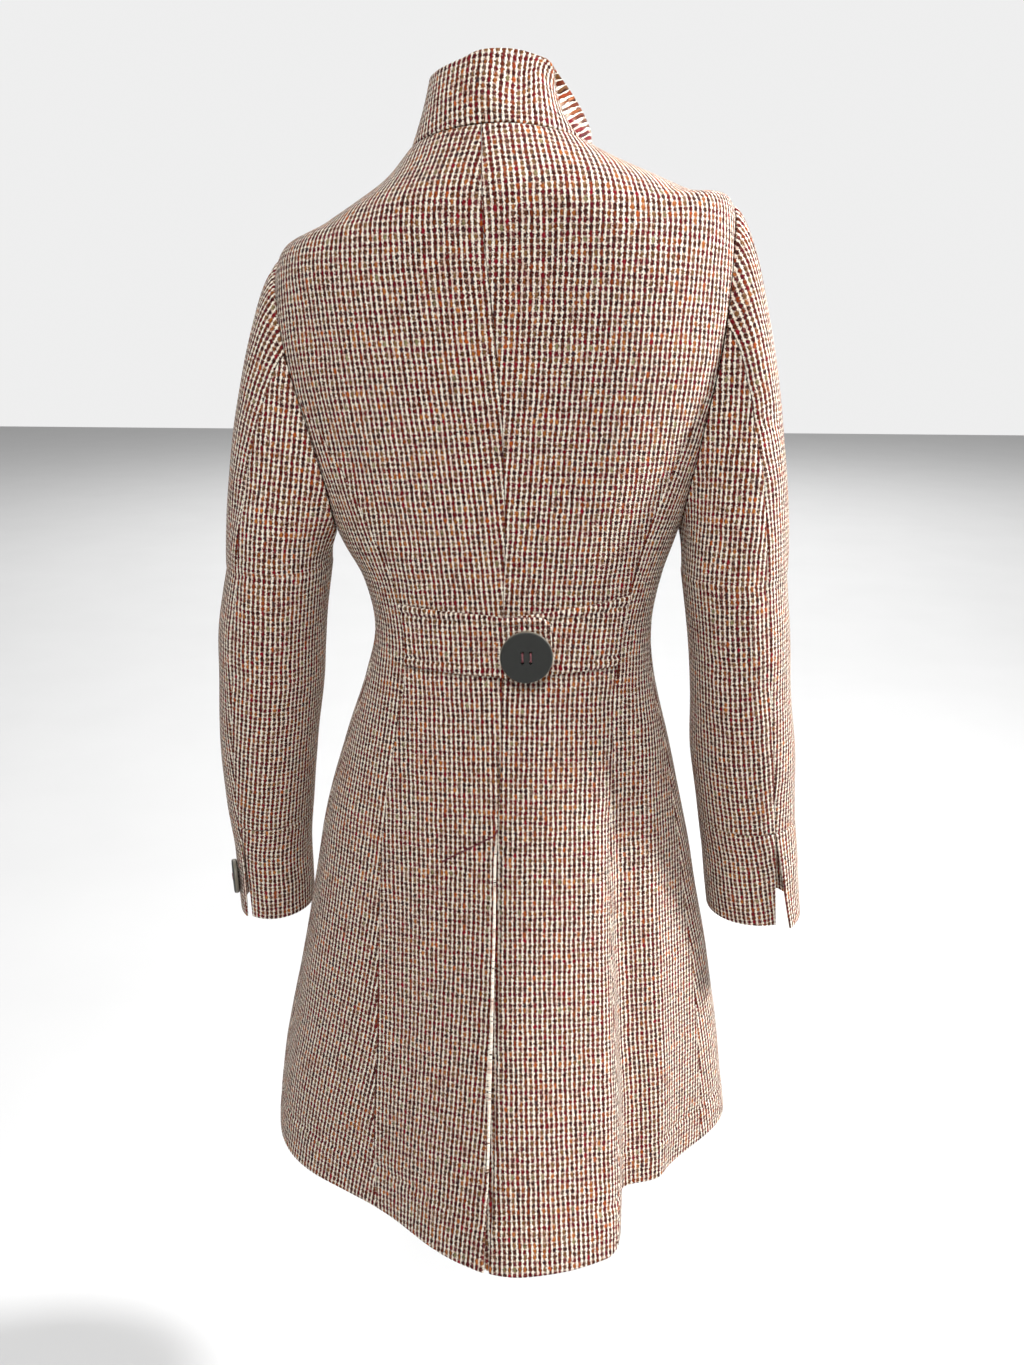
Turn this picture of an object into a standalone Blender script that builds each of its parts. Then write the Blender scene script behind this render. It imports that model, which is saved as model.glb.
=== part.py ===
"""A fitted, knee-length tweed coat with a stand collar, as it hangs on a wearer, hollow and open.

Metres, +Z up. The wearer's front faces -Y and the wearer's left is +X. The origin is on the body's
upright axis, at the height of the collar seam at the centre back.

The coat is one form, sampled by level (0 at the collar seam, 15 at the hem) and by angle (0 at the
centre back, positive towards the wearer's left, 180 at the centre front). Every panel is the
stretch of that form between two seams, made as a closed wall.
"""
import math
from collections import namedtuple

import bmesh
import bpy
from mathutils import Matrix, Vector

# Driving sizes
CLOTH = 0.0022
COLLAR_CLOTH = 0.0032
BELT_CLOTH = 0.0030
SEAM_GAP = 0.0004
CUFF_GAP = 0.0005
LAP_GAP = 0.0008
FRONT_LAP = 0.030
VENT_LAP = 0.044
VENT_TOP_Z = -0.560
VENT_SLANT = 0.040
BIG_BUTTON = 0.044
CUFF_BUTTON = 0.034
BUTTON_THICK = 0.0048

# The form: heights and half sizes of its level rings, from the collar seam to the hem.
# lean tips a ring sideways, turn swings it round, fullness squares it.
Ring = namedtuple(
    "Ring",
    "name back_z side_z front_z left right back front middle_x middle_y lean turn fullness",
)
RINGS = (
    Ring("neck", 0.000, -0.010, -0.075, 0.0695, 0.069, 0.059, 0.065, 0.005, 0.030, -0.02, 8, 0.00),
    Ring("neck base", -0.022, -0.030, -0.092, 0.096, 0.101, 0.079, 0.081, 0.004, 0.026, -0.066, 5, 0.00),
    Ring("mid shoulder", -0.052, -0.0515, -0.118, 0.142, 0.141, 0.099, 0.105, 0.003, 0.020, -0.081, 3, 0.02),
    Ring("shoulder tip", -0.095, -0.069, -0.150, 0.1835, 0.1790, 0.100, 0.119, 0.004, 0.014, -0.106, 1, 0.05),
    Ring("shoulder blades", -0.165, -0.150, -0.205, 0.191, 0.187, 0.096, 0.133, 0.004, 0.008, -0.060, -2, 0.08),
    Ring("chest", -0.235, -0.235, -0.255, 0.173, 0.173, 0.090, 0.142, 0.005, 0.004, -0.040, -4, 0.08),
    Ring("underarm", -0.305, -0.311, -0.315, 0.148, 0.149, 0.088, 0.128, 0.005, 0.0, -0.012, -5, 0.06),
    Ring("high waist", -0.350, -0.350, -0.350, 0.126, 0.138, 0.085, 0.108, 0.006, 0.0, -0.020, -5, 0.05),
    Ring("waist", -0.395, -0.395, -0.395, 0.117, 0.131, 0.083, 0.098, 0.0066, 0.0, -0.020, -5, 0.05),
    Ring("low waist", -0.440, -0.440, -0.440, 0.128, 0.133, 0.086, 0.104, 0.005, 0.0, -0.020, -4, 0.04),
    Ring("high hip", -0.505, -0.505, -0.505, 0.153, 0.146, 0.093, 0.118, 0.002, 0.0, -0.010, -2, 0.03),
    Ring("hip", -0.575, -0.575, -0.575, 0.176, 0.160, 0.107, 0.132, 0.0, 0.0, 0.0, 0, 0.02),
    Ring("thigh", -0.660, -0.660, -0.660, 0.1915, 0.176, 0.130, 0.150, 0.0, 0.0, 0.0, 1, 0.01),
    Ring("low thigh", -0.750, -0.750, -0.750, 0.209, 0.192, 0.162, 0.170, 0.0, 0.0, 0.0, 1, 0.00),
    Ring("above hem", -0.840, -0.840, -0.840, 0.2265, 0.205, 0.202, 0.190, 0.001, 0.0, 0.0, 0.5, 0.00),
    Ring("hem", -0.905, -0.905, -0.905, 0.2325, 0.212, 0.234, 0.204, 0.002, 0.0, 0.0, 0.5, 0.00),
)
HEM_LEVEL = len(RINGS) - 1

# Soft flare folds of the skirt: how far the cloth dips or swells at the hem.
Fold = namedtuple("Fold", "name angle spread depth first_level power")
FOLDS = (
    Fold("right back valley", -45, 16, -0.040, 8.6, 1.1),
    Fold("right side hollow", -62, 30, -0.036, 9.5, 1.3),
    Fold("left back valley", 32, 42, -0.038, 10.0, 1.4),
    Fold("left front valley", 128, 24, -0.024, 10.0, 1.5),
    Fold("right front valley", -126, 26, -0.028, 10.0, 1.5),
    Fold("left side swell", 96, 24, 0.008, 10.0, 1.5),
    Fold("right side swell", -98, 24, 0.007, 10.0, 1.5),
)

# Where the seams cross the levels, in degrees from the centre back, alike on both sides.
Armhole = namedtuple("Armhole", "level back front")
ARMHOLES = (
    Armhole(3.0, 90.0, 90.0),
    Armhole(3.3, 77.0, 101.0),
    Armhole(3.6, 71.0, 108.0),
    Armhole(4.0, 67.0, 113.0),
    Armhole(4.4, 65.0, 115.5),
    Armhole(4.8, 64.5, 116.0),
    Armhole(5.2, 66.0, 114.0),
    Armhole(5.5, 69.0, 111.0),
    Armhole(5.8, 76.0, 102.0),
    Armhole(6.0, 86.0, 86.0),
)
Seams = namedtuple("Seams", "level back side front")
SEAMS = (
    Seams(4.4, 64.6, 86.0, 115.9),
    Seams(4.8, 57.0, 86.0, 122.0),
    Seams(5.2, 52.5, 86.0, 126.0),
    Seams(5.5, 50.2, 86.0, 128.0),
    Seams(6.0, 48.0, 86.0, 131.0),
    Seams(7.0, 47.5, 82.0, 134.0),
    Seams(8.0, 46.0, 79.0, 136.0),
    Seams(9.0, 44.0, 78.0, 137.0),
    Seams(10.0, 41.0, 78.0, 138.0),
    Seams(11.0, 39.0, 78.0, 139.0),
    Seams(12.0, 37.5, 78.0, 140.0),
    Seams(13.0, 36.0, 78.0, 140.5),
    Seams(14.0, 34.5, 78.0, 141.0),
    Seams(15.0, 33.0, 78.0, 141.5),
)
Centre = namedtuple("Centre", "level angle")
CENTRES = (
    Centre(0.0, 0.0),
    Centre(3.0, 0.4),
    Centre(4.0, 1.4),
    Centre(5.0, 2.0),
    Centre(6.0, 2.4),
    Centre(8.0, 2.4),
    Centre(10.0, 2.0),
    Centre(11.0, 1.2),
    Centre(12.0, 0.0),
    Centre(15.0, 0.0),
)
SHOULDER_ANGLE = 90.0
JOIN_LEVEL = 4.4
UNDERARM_LEVEL = 6.0
SHOULDER_LEVELS = (0.0, 0.6, 1.2, 1.8, 2.4)
BELT_LEVELS = (7.4, 7.7, 8.0, 8.3, 8.6)
LOWER_LEVELS = (6.5, 7.0, *BELT_LEVELS, 9.0, 9.5, 10.0, 10.8, 11.4, 12.2, 13.0, 14.0, 15.0)

# The sleeves: level sections of each arm, from the upper arm to the cuff's end.
Section = namedtuple("Section", "z middle_x middle_y across deep")
SLEEVES = {
    1: (
        Section(-0.345, 0.2085, 0.000, 0.0455, 0.062),
        Section(-0.400, 0.2195, -0.002, 0.0475, 0.061),
        Section(-0.457, 0.2255, -0.006, 0.0475, 0.058),
        Section(-0.517, 0.2335, -0.012, 0.0455, 0.054),
        Section(-0.585, 0.2395, -0.020, 0.0415, 0.049),
        Section(-0.630, 0.2410, -0.026, 0.0372, 0.046),
        Section(-0.670, 0.2418, -0.030, 0.0367, 0.0455),
        Section(-0.705, 0.2425, -0.033, 0.0360, 0.045),
    ),
    -1: (
        Section(-0.345, -0.1935, 0.000, 0.0455, 0.062),
        Section(-0.404, -0.2015, -0.002, 0.0445, 0.060),
        Section(-0.460, -0.2070, -0.006, 0.0450, 0.057),
        Section(-0.517, -0.2130, -0.012, 0.0475, 0.054),
        Section(-0.575, -0.2200, -0.018, 0.0455, 0.050),
        Section(-0.620, -0.2265, -0.024, 0.0450, 0.048),
        Section(-0.660, -0.2310, -0.028, 0.0450, 0.0465),
        Section(-0.705, -0.2370, -0.032, 0.0440, 0.046),
    ),
}
SLEEVE_SIDES = 18
BACK_SEAM_SIDE = 3
FRONT_SEAM_SIDE = 12
CAP_ROWS = 7
SLEEVE_ROW_Z = (-0.372, -0.400, -0.430, -0.460, -0.490, -0.520, -0.552)
CUFF_SEAM_Z = {1: -0.600, -1: -0.584}
CUFF_END_Z = {1: -0.702, -1: -0.684}
CUFF_ROWS = 5
CUFF_FLARE = {1: 0.004, -1: 0.011}
SLIT_WIDTH = {1: 0.004, -1: 0.008}
CUFF_BUTTON_Z = {1: -0.664, -1: -0.645}
CUFF_BUTTON_LIFT = 0.0003
CUFF_BUTTON_PLACE = {1: (1, 0.4), -1: (5, 0.2)}

# Front fastening buttons, by height, on the centre front line.
FRONT_BUTTON_Z = (-0.150, -0.265, -0.380, -0.495)
BACK_BUTTON_ANGLE = -5.8
BACK_BUTTON_LEVEL = 8.15
SIDE_NAMES = {1: "left", -1: "right"}

TWEED = ((0.43, 0.27, 0.22, 1.0), 0.95)
BUTTON_PLASTIC = ((0.045, 0.046, 0.042, 1.0), 0.55)


# Curves through the tables

def smooth(values, places, place):
    """The value at a place on a smooth curve through values, which stand at rising places."""
    last = len(places) - 1
    i = 0
    while i < last - 1 and place > places[i + 1]:
        i += 1
    span = places[i + 1] - places[i]
    rise = (values[i + 1] - values[i]) / span

    def slope(k):
        if k == 0 or k == last:
            return rise
        return (values[k + 1] - values[k - 1]) / (places[k + 1] - places[k - 1])

    t = (place - places[i]) / span
    start, end = slope(i) * span, slope(i + 1) * span
    return (
        values[i] * (2 * t**3 - 3 * t**2 + 1)
        + start * (t**3 - 2 * t**2 + t)
        + values[i + 1] * (3 * t**2 - 2 * t**3)
        + end * (t**3 - t**2)
    )


def from_table(rows, key, column, place):
    """Reads a named column of a table at any place along its key column."""
    places = [getattr(row, key) for row in rows]
    return smooth([getattr(row, column) for row in rows], places, place)


RING_PLACES = list(range(len(RINGS)))
RING_COLUMNS = {name: [getattr(ring, name) for ring in RINGS] for name in Ring._fields[1:]}


def ring_at(level):
    """The form's ring at any level, as a dictionary of its columns."""
    return {name: smooth(values, RING_PLACES, level) for name, values in RING_COLUMNS.items()}


def fold_at(level, angle):
    """How far the flare folds push the cloth out at a level and angle."""
    out = 0.0
    for fold in FOLDS:
        apart = (angle - fold.angle + 180.0) % 360.0 - 180.0
        if abs(apart) < fold.spread and level > fold.first_level:
            grown = ((level - fold.first_level) / (HEM_LEVEL - fold.first_level)) ** fold.power
            out += fold.depth * grown * (1 + math.cos(math.pi * apart / fold.spread)) / 2
    return out


def form_point(level, angle):
    """A point of the cloth's outer face."""
    ring = ring_at(level)
    turned = math.radians(angle + ring["turn"])
    across, along = math.sin(turned), math.cos(turned)
    wide = ring["left"] if across > 0 else ring["right"]
    deep = ring["back"] if along > 0 else ring["front"]
    end_z = ring["back_z"] if along > 0 else ring["front_z"]
    x = wide * across * (1 + ring["fullness"] * along * along)
    y = deep * along * (1 + ring["fullness"] * across * across)
    pushed = 1 + fold_at(level, angle) / math.hypot(x, y)
    x = x * pushed + ring["middle_x"]
    y = y * pushed + ring["middle_y"]
    z = ring["side_z"] + (end_z - ring["side_z"]) * along * along + ring["lean"] * x
    return Vector((x, y, z))


def form_normal(level, angle):
    """The direction straight out of the cloth."""
    down = form_point(level + 0.05, angle) - form_point(level - 0.05, angle)
    round_body = form_point(level, angle + 1.0) - form_point(level, angle - 1.0)
    return round_body.cross(down).normalized()


def degrees_for(level, angle, length):
    """The angle that a short length along the level ring spans."""
    return length / (form_point(level, angle + 0.5) - form_point(level, angle - 0.5)).length


def level_at(angle, z):
    """The level at which the form passes a height."""
    low, high = 3.0, float(HEM_LEVEL)
    for _ in range(40):
        middle = (low + high) / 2
        if form_point(middle, angle).z > z:
            low = middle
        else:
            high = middle
    return (low + high) / 2


def step(low, high, value):
    """0 below low, 1 above high and a soft rise between them."""
    t = min(max((value - low) / (high - low), 0.0), 1.0)
    return t * t * (3 - 2 * t)


# Solids

def material(name, look):
    """A plain Principled material."""
    colour, roughness = look
    made = bpy.data.materials.new(name)
    made.use_nodes = True
    shader = made.node_tree.nodes["Principled BSDF"]
    shader.inputs["Base Color"].default_value = colour
    shader.inputs["Roughness"].default_value = roughness
    shader.inputs["Metallic"].default_value = 0.0
    made.diffuse_color = colour
    return made


def wall(name, outer, inner, look, parts):
    """A closed wall between two grids of points, both as rows of equal length."""
    rows, columns = len(outer), len(outer[0])
    mesh = bmesh.new()
    out = [[mesh.verts.new(point) for point in row] for row in outer]
    into = [[mesh.verts.new(point) for point in row] for row in inner]
    for r in range(rows - 1):
        for c in range(columns - 1):
            mesh.faces.new((out[r][c], out[r + 1][c], out[r + 1][c + 1], out[r][c + 1]))
            mesh.faces.new((into[r][c], into[r][c + 1], into[r + 1][c + 1], into[r + 1][c]))
    for r in range(rows - 1):
        for c in (0, columns - 1):
            mesh.faces.new((out[r][c], into[r][c], into[r + 1][c], out[r + 1][c]))
    for c in range(columns - 1):
        for r in (0, rows - 1):
            mesh.faces.new((out[r][c], out[r][c + 1], into[r][c + 1], into[r][c]))
    bmesh.ops.recalc_face_normals(mesh, faces=mesh.faces)
    data = bpy.data.meshes.new(name)
    mesh.to_mesh(data)
    mesh.free()
    data.shade_smooth()
    data.set_sharp_from_angle(angle=math.radians(40))
    data.materials.append(material(name, look))
    piece = bpy.data.objects.new(name, data)
    parts.objects.link(piece)
    return piece


def spot(level, angle, lift=0.0):
    """A place on the form standing out by a lift, with the direction out of the cloth there."""
    normal = form_normal(level, angle)
    return form_point(level, angle) + normal * lift, normal


def chord_spot(level, first, last, share, lift=0.0):
    """A place on the straight line between two places of a level, standing out by a lift."""
    start, start_normal = spot(level, first)
    end, end_normal = spot(level, last)
    normal = start_normal.lerp(end_normal, share).normalized()
    return start.lerp(end, share) + normal * lift, normal


def form_wall(name, grid, thickness, parts, look=TWEED):
    """A wall on the form, from rows of spots on its outer face."""
    outer = [[point for point, _ in row] for row in grid]
    inner = [[point - normal * thickness for point, normal in row] for row in grid]
    return wall(name, outer, inner, look, parts)


def evenly(first, last, count):
    """count + 1 values from first to last."""
    return [first + (last - first) * k / count for k in range(count + 1)]


# Body panels

def armhole_angle(level, column):
    """The back or front edge of the armhole at a level, or the shoulder seam above it."""
    if level <= ARMHOLES[0].level:
        return SHOULDER_ANGLE
    return from_table(ARMHOLES, "level", column, level)


def seam_angle(level, column):
    """A long seam at a level."""
    return from_table(SEAMS, "level", column, level)


def centre_back(level):
    """The centre back seam at a level."""
    return from_table(CENTRES, "level", "angle", level)


def levels_from(first):
    """The levels that all the panels share, from a first one down to the hem."""
    shared = SHOULDER_LEVELS + tuple(row.level for row in ARMHOLES) + LOWER_LEVELS
    return [level for level in shared if level >= first]


def trimmed(level, angle, way):
    """An angle moved by half the seam's gap, in the way +1 or -1."""
    return angle + way * degrees_for(level, angle, SEAM_GAP / 2)


def panel_angles(level, first, last, columns):
    """The angles of a panel's columns between two seams, short of each by half the gap."""
    way = 1 if last > first else -1
    return evenly(trimmed(level, first, way), trimmed(level, last, -way), columns)


def panel_row(level, first, last, columns):
    """One level row of a panel between two seams."""
    return [spot(level, angle) for angle in panel_angles(level, first, last, columns)]


def outer_back_edge(level):
    """The centre back panel's far edge: shoulder, armhole, then the curved seam."""
    return armhole_angle(level, "back") if level < JOIN_LEVEL else seam_angle(level, "back")


def outer_front_edge(level):
    """The front panel's far edge: shoulder, armhole, then the curved seam."""
    return armhole_angle(level, "front") if level < JOIN_LEVEL else seam_angle(level, "front")


def back_left_angles(level):
    """The columns of the left half, from the centre back to its far edge."""
    return panel_angles(level, centre_back(level), outer_back_edge(level), 8)


def back_right_angles(level):
    """The columns of the right half, from its far edge to where the vent's cloth bends inwards."""
    bend = centre_back(level) - 0.009 * degrees_for(level, 0.0, 1.0)
    return evenly(trimmed(level, -outer_back_edge(level), 1), bend, 7)


def build_back_left(parts):
    """The half whose vent flap lies on top."""
    grid = []
    for level in levels_from(0.0):
        grid.append([spot(level, angle) for angle in back_left_angles(level)])
    form_wall("back_left", grid, CLOTH, parts)


def build_back_right(parts):
    """The half that runs on beneath the vent flap, one cloth and a gap further in."""
    sunk = CLOTH + SEAM_GAP
    grid = []
    for level in levels_from(0.0):
        z = form_point(level, 0.0).z
        dip = sunk * step(VENT_TOP_Z + 0.030, VENT_TOP_Z, z)
        reach = VENT_LAP * step(VENT_TOP_Z, VENT_TOP_Z - VENT_SLANT, z)
        per_metre = degrees_for(level, 0.0, 1.0)
        row = [spot(level, angle) for angle in back_right_angles(level)]
        centre = centre_back(level)
        row.append(spot(level, centre - 0.0012 * per_metre, -dip))
        above = back_left_angles(level)
        width = above[1] - above[0]
        for share in (0.0, 1 / 3, 2 / 3, 1.0):
            if reach < 0.001:
                row.append(spot(level, centre + (0.0009 * share - 0.0011) * per_metre, -dip))
                continue
            k = int(reach * share * per_metre / width)
            part = reach * share * per_metre / width - k
            row.append(chord_spot(level, above[k], above[k + 1], part, -dip))
        grid.append(row)
    form_wall("back_right", grid, CLOTH, parts)


def build_side_panels(side, parts):
    """The side back and side front panels of one side."""
    name = SIDE_NAMES[side]
    back, front = [], []
    for level in levels_from(JOIN_LEVEL):
        above = level < UNDERARM_LEVEL
        side_edge = seam_angle(max(level, UNDERARM_LEVEL), "side")
        back_end = armhole_angle(level, "back") if above else side_edge
        front_end = armhole_angle(level, "front") if above else side_edge
        back.append(panel_row(level, side * seam_angle(level, "back"), side * back_end, 5))
        front.append(panel_row(level, side * front_end, side * seam_angle(level, "front"), 5))
    form_wall(f"side_back_{name}", back, CLOTH, parts)
    form_wall(f"side_front_{name}", front, CLOTH, parts)


def lap_angles(level):
    """The columns that both fronts share where they lie one over the other."""
    lap = degrees_for(level, 180.0, FRONT_LAP)
    return evenly(180.0 + lap, 180.0 - lap, 4)


def build_front_right(parts):
    """The front that laps over, past the centre front by the lap."""
    grid = []
    for level in levels_from(0.0):
        lap = lap_angles(level)
        first = trimmed(level, 360.0 - outer_front_edge(level), -1)
        angles = evenly(first, lap[0], 6)[:-1] + lap
        grid.append([spot(level, angle - 360.0) for angle in angles])
    form_wall("front_right", grid, CLOTH, parts)


def build_front_left(parts):
    """The front that passes beneath the other one."""
    sunk = CLOTH + LAP_GAP
    grid = []
    for level in levels_from(0.0):
        lap = lap_angles(level)
        bend = lap[-1] - 0.010 * degrees_for(level, 180.0, 1.0)
        first = trimmed(level, outer_front_edge(level), 1)
        row = [spot(level, angle) for angle in evenly(first, bend, 6)]
        row.append(chord_spot(level, lap[-1], lap[-2], 0.02, -sunk))
        row += [spot(level, angle, -sunk) for angle in reversed(lap[:-1])]
        grid.append(row)
    form_wall("front_left", grid, CLOTH, parts)


# Collar

# The stand collar by angle: where its cloth passes its crease and where it ends. On the right side
# it rolls outwards above a crease that runs from the top edge down to the seam.
CollarSection = namedtuple("CollarSection", "angle crease_x crease_y crease_z top_x top_y top_z")
COLLAR = (
    CollarSection(-166, -0.029, -0.046, -0.052, -0.038, -0.066, -0.026),
    CollarSection(-145, -0.052, -0.028, -0.032, -0.056, -0.054, -0.010),
    CollarSection(-125, -0.062, -0.006, -0.014, -0.062, -0.034, 0.004),
    CollarSection(-105, -0.062, 0.010, 0.001, -0.059, -0.012, 0.014),
    CollarSection(-85, -0.053, 0.033, 0.004, -0.051, 0.011, 0.026),
    CollarSection(-65, -0.039, 0.047, 0.018, -0.042, 0.036, 0.035),
    CollarSection(-45, -0.027, 0.061, 0.032, -0.030, 0.055, 0.045),
    CollarSection(-25, -0.011, 0.073, 0.025, -0.010, 0.064, 0.051),
    CollarSection(0, 0.014, 0.080, 0.024, 0.014, 0.068, 0.051),
    CollarSection(30, 0.037, 0.074, 0.020, 0.031, 0.064, 0.046),
    CollarSection(60, 0.058, 0.054, 0.016, 0.052, 0.048, 0.041),
    CollarSection(90, 0.067, 0.026, 0.012, 0.062, 0.022, 0.037),
    CollarSection(120, 0.061, -0.008, -0.008, 0.058, -0.010, 0.020),
    CollarSection(145, 0.042, -0.032, -0.033, 0.044, -0.035, -0.004),
    CollarSection(166, 0.020, -0.045, -0.045, 0.027, -0.052, -0.018),
)
COLLAR_COLUMNS = 32
COLLAR_ROWS = 6


def collar_point(angle, share):
    """A point of the collar's outer face, at a share of its height from 0 at the seam to 1."""
    foot = form_point(0.0, angle)
    crease = Vector([from_table(COLLAR, "angle", f"crease_{axis}", angle) for axis in "xyz"])
    top = Vector([from_table(COLLAR, "angle", f"top_{axis}", angle) for axis in "xyz"])
    bend = 2 * crease - (foot + top) / 2
    return foot * (1 - share) ** 2 + bend * 2 * share * (1 - share) + top * share**2


def build_collar(parts):
    """The stand collar, from front end to front end round the back."""
    ends = COLLAR[0].angle, COLLAR[-1].angle
    lift = Vector((0.0, 0.0, SEAM_GAP * 1.5))
    outer, inner = [], []
    for share in evenly(0.0, 1.0, COLLAR_ROWS):
        out_row, in_row = [], []
        for angle in evenly(*ends, COLLAR_COLUMNS):
            rising = collar_point(angle, share + 0.05) - collar_point(angle, share - 0.05)
            round_neck = collar_point(angle + 1.0, share) - collar_point(angle - 1.0, share)
            normal = rising.cross(round_neck).normalized()
            point = collar_point(angle, share) + lift
            out_row.append(point)
            in_row.append(point - normal * COLLAR_CLOTH)
        outer.append(out_row)
        inner.append(in_row)
    wall("collar", outer, inner, TWEED, parts)


# Half belt

# The share of its depth that the lapping half keeps at its rounded end
BELT_END_SHARE = 0.60
# How far each half rises from the centre to its outer end, in levels, at both of its edges
BeltRise = namedtuple("BeltRise", "upper lower")
BELT_RISE = {1: BeltRise(0.13, 0.11), -1: BeltRise(0.24, 0.07)}


def belt_level(side, level, share):
    """Where a row of the belt passes, at a share of the way from the centre to the outer end."""
    down = (level - BELT_LEVELS[0]) / (BELT_LEVELS[-1] - BELT_LEVELS[0])
    rise = BELT_RISE[side]
    return level - (rise.upper + (rise.lower - rise.upper) * down) * share


def build_half_belt(parts):
    """Both halves: the wearer's left one runs over the centre and laps over the right one."""
    near = SEAM_GAP + BELT_CLOTH
    far = near + SEAM_GAP + BELT_CLOTH
    left, right = [], []
    for level in BELT_LEVELS:
        row = []
        for k in range(8, 0, -1):
            risen = belt_level(1, level, k / 8)
            row.append(spot(risen, back_left_angles(risen)[k], near))
        right_angles = back_right_angles(level)
        row += [spot(level, back_left_angles(level)[0], far)]
        row += [spot(level, angle, far) for angle in reversed(right_angles[5:])]
        middle = (BELT_LEVELS[0] + BELT_LEVELS[-1]) / 2
        drawn_in = middle + (level - middle) * BELT_END_SHARE
        row.append(spot(drawn_in, right_angles[4], far))
        left.append(row)
        row = []
        for k in range(8):
            risen = belt_level(-1, level, 1 - k / 7)
            row.append(spot(risen, back_right_angles(risen)[k], near))
        right.append(row)
    form_wall("half_belt_left", left, BELT_CLOTH, parts)
    form_wall("half_belt_right", right, BELT_CLOTH, parts)
    return far


# Sleeves

def armhole_ring(side):
    """The armhole's edge, from the shoulder tip down the back, round and up the front."""
    rows = list(ARMHOLES)
    ring = [(row.level, row.back) for row in rows]
    ring += [(row.level, row.front) for row in reversed(rows[1:-1])]
    return [form_point(level, side * angle) for level, angle in ring]


def sleeve_ring(side, z):
    """The arm's level section at a height."""
    table = [row._replace(z=-row.z) for row in SLEEVES[side]]
    middle_x = from_table(table, "z", "middle_x", -z)
    middle_y = from_table(table, "z", "middle_y", -z)
    across = from_table(table, "z", "across", -z)
    deep = from_table(table, "z", "deep", -z)
    ring = []
    for k in range(SLEEVE_SIDES):
        turn = 2 * math.pi * k / SLEEVE_SIDES
        x = middle_x + side * across * math.cos(turn)
        ring.append(Vector((x, middle_y + deep * math.sin(turn), z)))
    return ring


def cap_rows(side):
    """The sleeve head: from the armhole's edge over to the first level section."""
    start, end = armhole_ring(side), sleeve_ring(side, SLEEVES[side][0].z)
    rows = []
    for r in range(CAP_ROWS + 1):
        t = r / CAP_ROWS
        row = []
        for a, b, k in zip(start, end, range(SLEEVE_SIDES)):
            low = (1 - math.cos(2 * math.pi * k / SLEEVE_SIDES)) / 2
            reach = (b - a).length
            leave = Vector((side * (1.0 - 0.65 * low), 0.0, -0.28 - 0.7 * low)).normalized()
            leave *= 0.075 * (1 - low) + 0.025 * low
            arrive = Vector((0.0, 0.0, -0.85 * reach))
            point = (
                a * (2 * t**3 - 3 * t**2 + 1)
                + leave * (t**3 - 2 * t**2 + t)
                + b * (3 * t**2 - 2 * t**3)
                + arrive * (t**3 - t**2)
            )
            row.append(point + Vector((side * 0.9, 0.0, -0.3)).normalized() * CUFF_GAP)
        rows.append(row)
    return rows


def tube_inner(rows, thickness):
    """The inner face of a tube given as closed rings: each point moved in along its normal."""
    inner = []
    for r, row in enumerate(rows):
        before, after = rows[max(r - 1, 0)], rows[min(r + 1, len(rows) - 1)]
        middle = sum(row, Vector()) / len(row)
        moved = []
        for c, point in enumerate(row):
            down = after[c] - before[c]
            around = row[(c + 1) % len(row)] - row[c - 1]
            normal = around.cross(down).normalized()
            if normal.dot(point - middle) < 0:
                normal = -normal
            moved.append(point - normal * thickness)
        inner.append(moved)
    return inner


def strip(rows, first, last, trim):
    """The columns from first to last of closed rings, its two ends trimmed along the ring."""
    cut = []
    for row in rows:
        points = [row[k % len(row)].copy() for k in range(first, last + 1)]
        points[0] += (points[1] - points[0]).normalized() * trim
        points[-1] += (points[-2] - points[-1]).normalized() * trim
        cut.append(points)
    return cut


def build_sleeve(side, parts):
    """Upper and under sleeve, joined along the back and the front of the arm."""
    name = SIDE_NAMES[side]
    rows = cap_rows(side)
    rows += [sleeve_ring(side, z) for z in SLEEVE_ROW_Z]
    rows.append(sleeve_ring(side, CUFF_SEAM_Z[side] + SEAM_GAP))
    inner = tube_inner(rows, CLOTH)
    under = BACK_SEAM_SIDE, FRONT_SEAM_SIDE
    upper = FRONT_SEAM_SIDE, BACK_SEAM_SIDE + SLEEVE_SIDES
    for piece, ends in (("under_sleeve", under), ("upper_sleeve", upper)):
        wall(
            f"{piece}_{name}",
            strip(rows, *ends, SEAM_GAP / 2),
            strip(inner, *ends, SEAM_GAP / 2),
            TWEED,
            parts,
        )


def cuff_columns(side, z):
    """The cuff's section as an open strip, from the flared flap's edge round to the slit again."""
    ring = sleeve_ring(side, z)
    middle = sum(ring, Vector()) / len(ring)
    fallen = (CUFF_SEAM_Z[side] - z) / (CUFF_SEAM_Z[side] - CUFF_END_Z[side])
    points = [ring[(BACK_SEAM_SIDE - k) % SLEEVE_SIDES].copy() for k in range(SLEEVE_SIDES + 1)]
    for k, share in enumerate((1.0, 0.6, 0.25)):
        points[k] += (points[k] - middle).normalized() * CUFF_FLARE[side] * fallen * share
    half = SEAM_GAP / 2 + SLIT_WIDTH[side] / 2 * fallen
    points[0] += (points[1] - points[0]).normalized() * half
    points[-1] += (points[-2] - points[-1]).normalized() * half
    return points


def cuff_normals(points):
    """Level normals of an open strip of points."""
    normals = []
    middle = sum(points, Vector()) / len(points)
    for k, point in enumerate(points):
        ahead = points[min(k + 1, len(points) - 1)] - points[max(k - 1, 0)]
        normal = Vector((ahead.y, -ahead.x, 0.0)).normalized()
        normals.append(normal if normal.dot(point - middle) > 0 else -normal)
    return normals


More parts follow.
